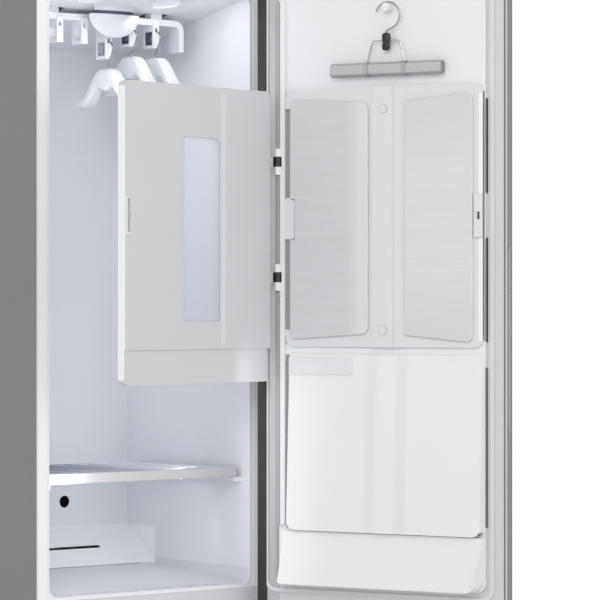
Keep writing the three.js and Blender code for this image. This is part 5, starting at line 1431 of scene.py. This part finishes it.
@dataclass
class TrouserHanger:
    """The clamp hanger for trousers, on its peg."""

    plane: float = -250.0
    wire: float = 1.6
    peg: float = -34.0
    loop: float = 29.0
    loop_top: float = 1825.0
    clip_top: float = 1758.0
    clip_low: float = 1719.0
    clip_wide: float = 9.0
    clip_deep: float = 6.5
    clip_end: float = 0.15
    clip_power: float = 6.0
    squareness: float = 0.6
    clip_steps: int = 32
    waist: float = 0.22
    waist_at: float = 0.42
    waist_reach: float = 0.12
    middle: float = -30.5
    stem_rises: tuple[float, ...] = (0.3, 3.5)
    turn_shares: tuple[float, ...] = (1.38, 1.25, 1.1, 0.95, 0.8, 0.65, 0.5, 0.35, 0.2, 0.1)
    peg_edge: float = 1.0
    bar_edge: float = 1.6

    def hook(self) -> list[Point]:
        """Draws the hook's path on the shut door.

        Returns:
            Its points in millimetres.
        """
        centre = self.loop_top - self.wire - self.loop
        path = [(self.middle, self.plane, self.clip_top + rise) for rise in self.stem_rises]
        for share in self.turn_shares:
            path.append((self.peg + self.loop * math.cos(math.pi * share), self.plane,
                         centre + self.loop * math.sin(math.pi * share)))
        return path

    def clip(self) -> bpy.types.Mesh:
        """Draws the clip on the wire frame: a rounded block with a waist.

        Returns:
            The clip's closed mesh.
        """
        rings = []
        for k in range(self.clip_steps + 1):
            share = k / self.clip_steps
            bulge = math.sqrt(max(0.0, 1 - abs(2 * share - 1) ** self.clip_power))
            end = bulge * (1 - self.clip_end) + self.clip_end
            waist = 1 - self.waist * math.exp(-((share - self.waist_at) / self.waist_reach) ** 2)
            level = self.clip_low + (self.clip_top - self.clip_low) * share
            wide, deep = self.clip_wide * waist * end, self.clip_deep * end
            rings.append([(self.middle + wide * x, self.plane + deep * y, level)
                          for x, y in rounded_ring(self.clip_steps, self.squareness)])
        return lofted("trouser_clip_block", rings, Drawn.ON_DOOR)

    def build(self) -> None:
        """Builds the hook and the clip and dresses the rest."""
        soften("trouser_peg", WHITE, self.peg_edge)
        soften("trouser_bar", BAR_TONE, self.bar_edge, FINE_STEPS)
        clip = linked("trouser_clip_block", self.clip())
        smooth(clip, 50.0)
        attach(clip, BLACK, "trouser_clip")
        keep("trouser_frame", CLAMP_TONE)
        hook = wire_along("trouser_hook_wire", self.hook(), self.wire, HOOK_CHROME, Drawn.ON_DOOR)
        attach(hook, HOOK_CHROME, "trouser_hook")


PLAIN: Colour = (1.0, 1.0, 1.0)


@dataclass(frozen=True)
class Lamp:
    """A soft rectangular light."""

    name: str
    place: Point
    target: Point
    size: float
    power: float
    colour: Colour = PLAIN
    height: float = 0.0

    def build(self) -> None:
        """Hangs the light: a square one, or one with its own height."""
        data = bpy.data.lights.new(self.name, "AREA")
        data.size = self.size
        if self.height:
            data.shape = "RECTANGLE"
            data.size_y = self.height
        data.energy = self.power
        data.color = self.colour
        light = bpy.data.objects.new(self.name, data)
        aim = Vector(self.target) - Vector(self.place)
        light.visible_camera = False
        turn = aim.to_track_quat("-Z", "Y").to_matrix().to_4x4()
        light.matrix_world = Matrix.Translation(self.place) @ turn
        bpy.context.scene.collection.objects.link(light)


@dataclass
class Studio:
    """Camera, floor, lights and surroundings."""

    camera_place: Point = (-3970.0, -5646.0, 1183.0)
    bearing: float = 39.16
    focal_pixels: float = 3089.0
    image_pixels: float = 600.0
    sensor: float = 36.0
    surround: float = 0.66
    surround_tone: Colour = (1.0, 0.997, 0.99)
    lamp_tone: Colour = (1.0, 0.995, 0.99)
    floor_half: float = 30.0
    floor_darkest: Colour = (0.86, 0.86, 0.87)
    floor_palest: Colour = (0.88, 0.88, 0.89)
    shadow_reach: float = 2.4
    glow_near: float = 0.6

    def build(self) -> None:
        """Sets up the studio."""
        self.camera()
        self.surroundings()
        self.floor()
        self.lights()
        bpy.context.scene.view_settings.view_transform = "Standard"

    def camera(self) -> None:
        """Places the camera at the photograph's viewpoint."""
        data = bpy.data.cameras.new("camera")
        data.sensor_width = self.sensor
        data.lens = self.focal_pixels * self.sensor / self.image_pixels
        data.clip_end = 100.0
        camera = bpy.data.objects.new("camera", data)
        camera.location = Vector(self.camera_place) * MM
        camera.rotation_euler = (math.pi / 2, 0.0, -math.radians(self.bearing))
        bpy.context.scene.collection.objects.link(camera)
        bpy.context.scene.camera = camera

    def seen(self, tree: bpy.types.NodeTree) -> Wire:
        """Adds a mask of the rays that see the surroundings themselves.

        Args:
            tree: The node tree.

        Returns:
            1 for camera, glossy and transmission rays.
        """
        rays = tree.nodes.new("ShaderNodeLightPath")
        camera = Wire(rays.outputs["Is Camera Ray"])
        either = camera.maths("MAXIMUM", camera, Wire(rays.outputs["Is Glossy Ray"]))
        return either.maths("MAXIMUM", either, Wire(rays.outputs["Is Transmission Ray"]))

    def surroundings(self) -> None:
        """Lights the scene evenly and shows white behind it."""
        world = bpy.data.worlds.new("studio")
        bpy.context.scene.world = world
        world.use_nodes = True
        tree = world.node_tree
        tree.nodes.clear()
        mask = self.seen(tree)
        dim = mask.node("ShaderNodeBackground", None,
                        {"Color": opaque(self.surround_tone), "Strength": self.surround})
        white = mask.node("ShaderNodeBackground", None, {"Color": opaque(PLAIN), "Strength": 1.0})
        mixed = mask.node("ShaderNodeMixShader", None, {0: mask, 1: dim, 2: white})
        output = tree.nodes.new("ShaderNodeOutputWorld")
        tree.links.new(mixed.socket, output.inputs["Surface"])

    def floor(self) -> None:
        """Lays a pale floor that keeps shadows."""
        form = bmesh.new()
        bmesh.ops.create_grid(form, x_segments=1, y_segments=1, size=self.floor_half)
        floor = linked("floor", plain_mesh("floor", form))
        floor.location.z = -MM
        material, place, shader = blank("floor_paint")
        speckle = place.noise(3.0, 2.0)
        feed(shader, {"Base Color": speckle.blend(self.floor_darkest, self.floor_palest), "Roughness": 0.8})
        tree = material.node_tree
        glow = place.node("ShaderNodeEmission", None, {"Color": opaque(PLAIN), "Strength": 1.0})
        away = place.node("ShaderNodeVectorMath", {"operation": "LENGTH"}, {0: place}, "Value")
        share = away.node("ShaderNodeMapRange", None, {
            "Value": away, "From Min": self.shadow_reach / 3, "From Max": self.shadow_reach,
            "To Min": self.glow_near, "To Max": 1.0})
        mixed = place.node("ShaderNodeMixShader", None,
                           {0: self.seen(tree) * share, 1: Wire(shader.outputs[0]), 2: glow})
        output = next(node for node in tree.nodes if node.type == "OUTPUT_MATERIAL")
        tree.links.new(mixed.socket, output.inputs["Surface"])
        floor.data.materials.append(material)

    def lights(self) -> None:
        """Hangs the studio's lights and those inside the cabinet."""
        Lamp("key_light", (-3.2, -3.4, 3.4), (0.0, -0.3, 1.1), 2.6, 84.0).build()
        Lamp("fill_light", (1.6, -4.2, 2.2), (0.0, -0.3, 1.2), 2.4, 32.0).build()
        Lamp("back_light", (0.5, 3.6, 3.2), (0.0, 0.0, 1.0), 2.6, 62.0).build()
        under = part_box("lamp_lens_left")[0].z - 10 * MM
        inside = (("ceiling", (0.12, -0.2, under), (0.27, -0.05, 1.5), 0.2, 0.13, 0.12),
                  ("rising", (0.0, -0.24, 1.62), (0.2, -0.02, 1.83), 0.2, 0.08, 0.1),
                  ("front", (-0.235, -0.25, 1.22), (0.2, 0.3, 1.22), 0.12, 1.3, 1.15),
                  ("low", (0.15, -0.2, 0.8), (-0.15, 0.25, 0.6), 0.12, 0.16, 0.12),
                  ("frame", (0.17, -0.42, 0.82), (0.285, -0.26, 0.82), 0.05, 0.06, 0.5))
        for name, place, target, size, power, height in inside:
            Lamp(f"cabinet_light_{name}", place, target, size, power, self.lamp_tone, height).build()


def main() -> None:
    """Builds the studio and each sub-assembly in order."""
    logging.basicConfig(level=logging.INFO, format="%(name)s: %(message)s")
    Studio().build()
    hangers = (Hanger(1, 30.0), Hanger(2, 0.0), Hanger(3, 0.0))
    for assembly in (OuterBody(), Compartment(), Rack(), *hangers, Shelf(), MachineBay(), DoorPanel(),
                     TrouserPress(), TrouserHanger()):
        assembly.build()


if __name__ == "__main__":
    main()
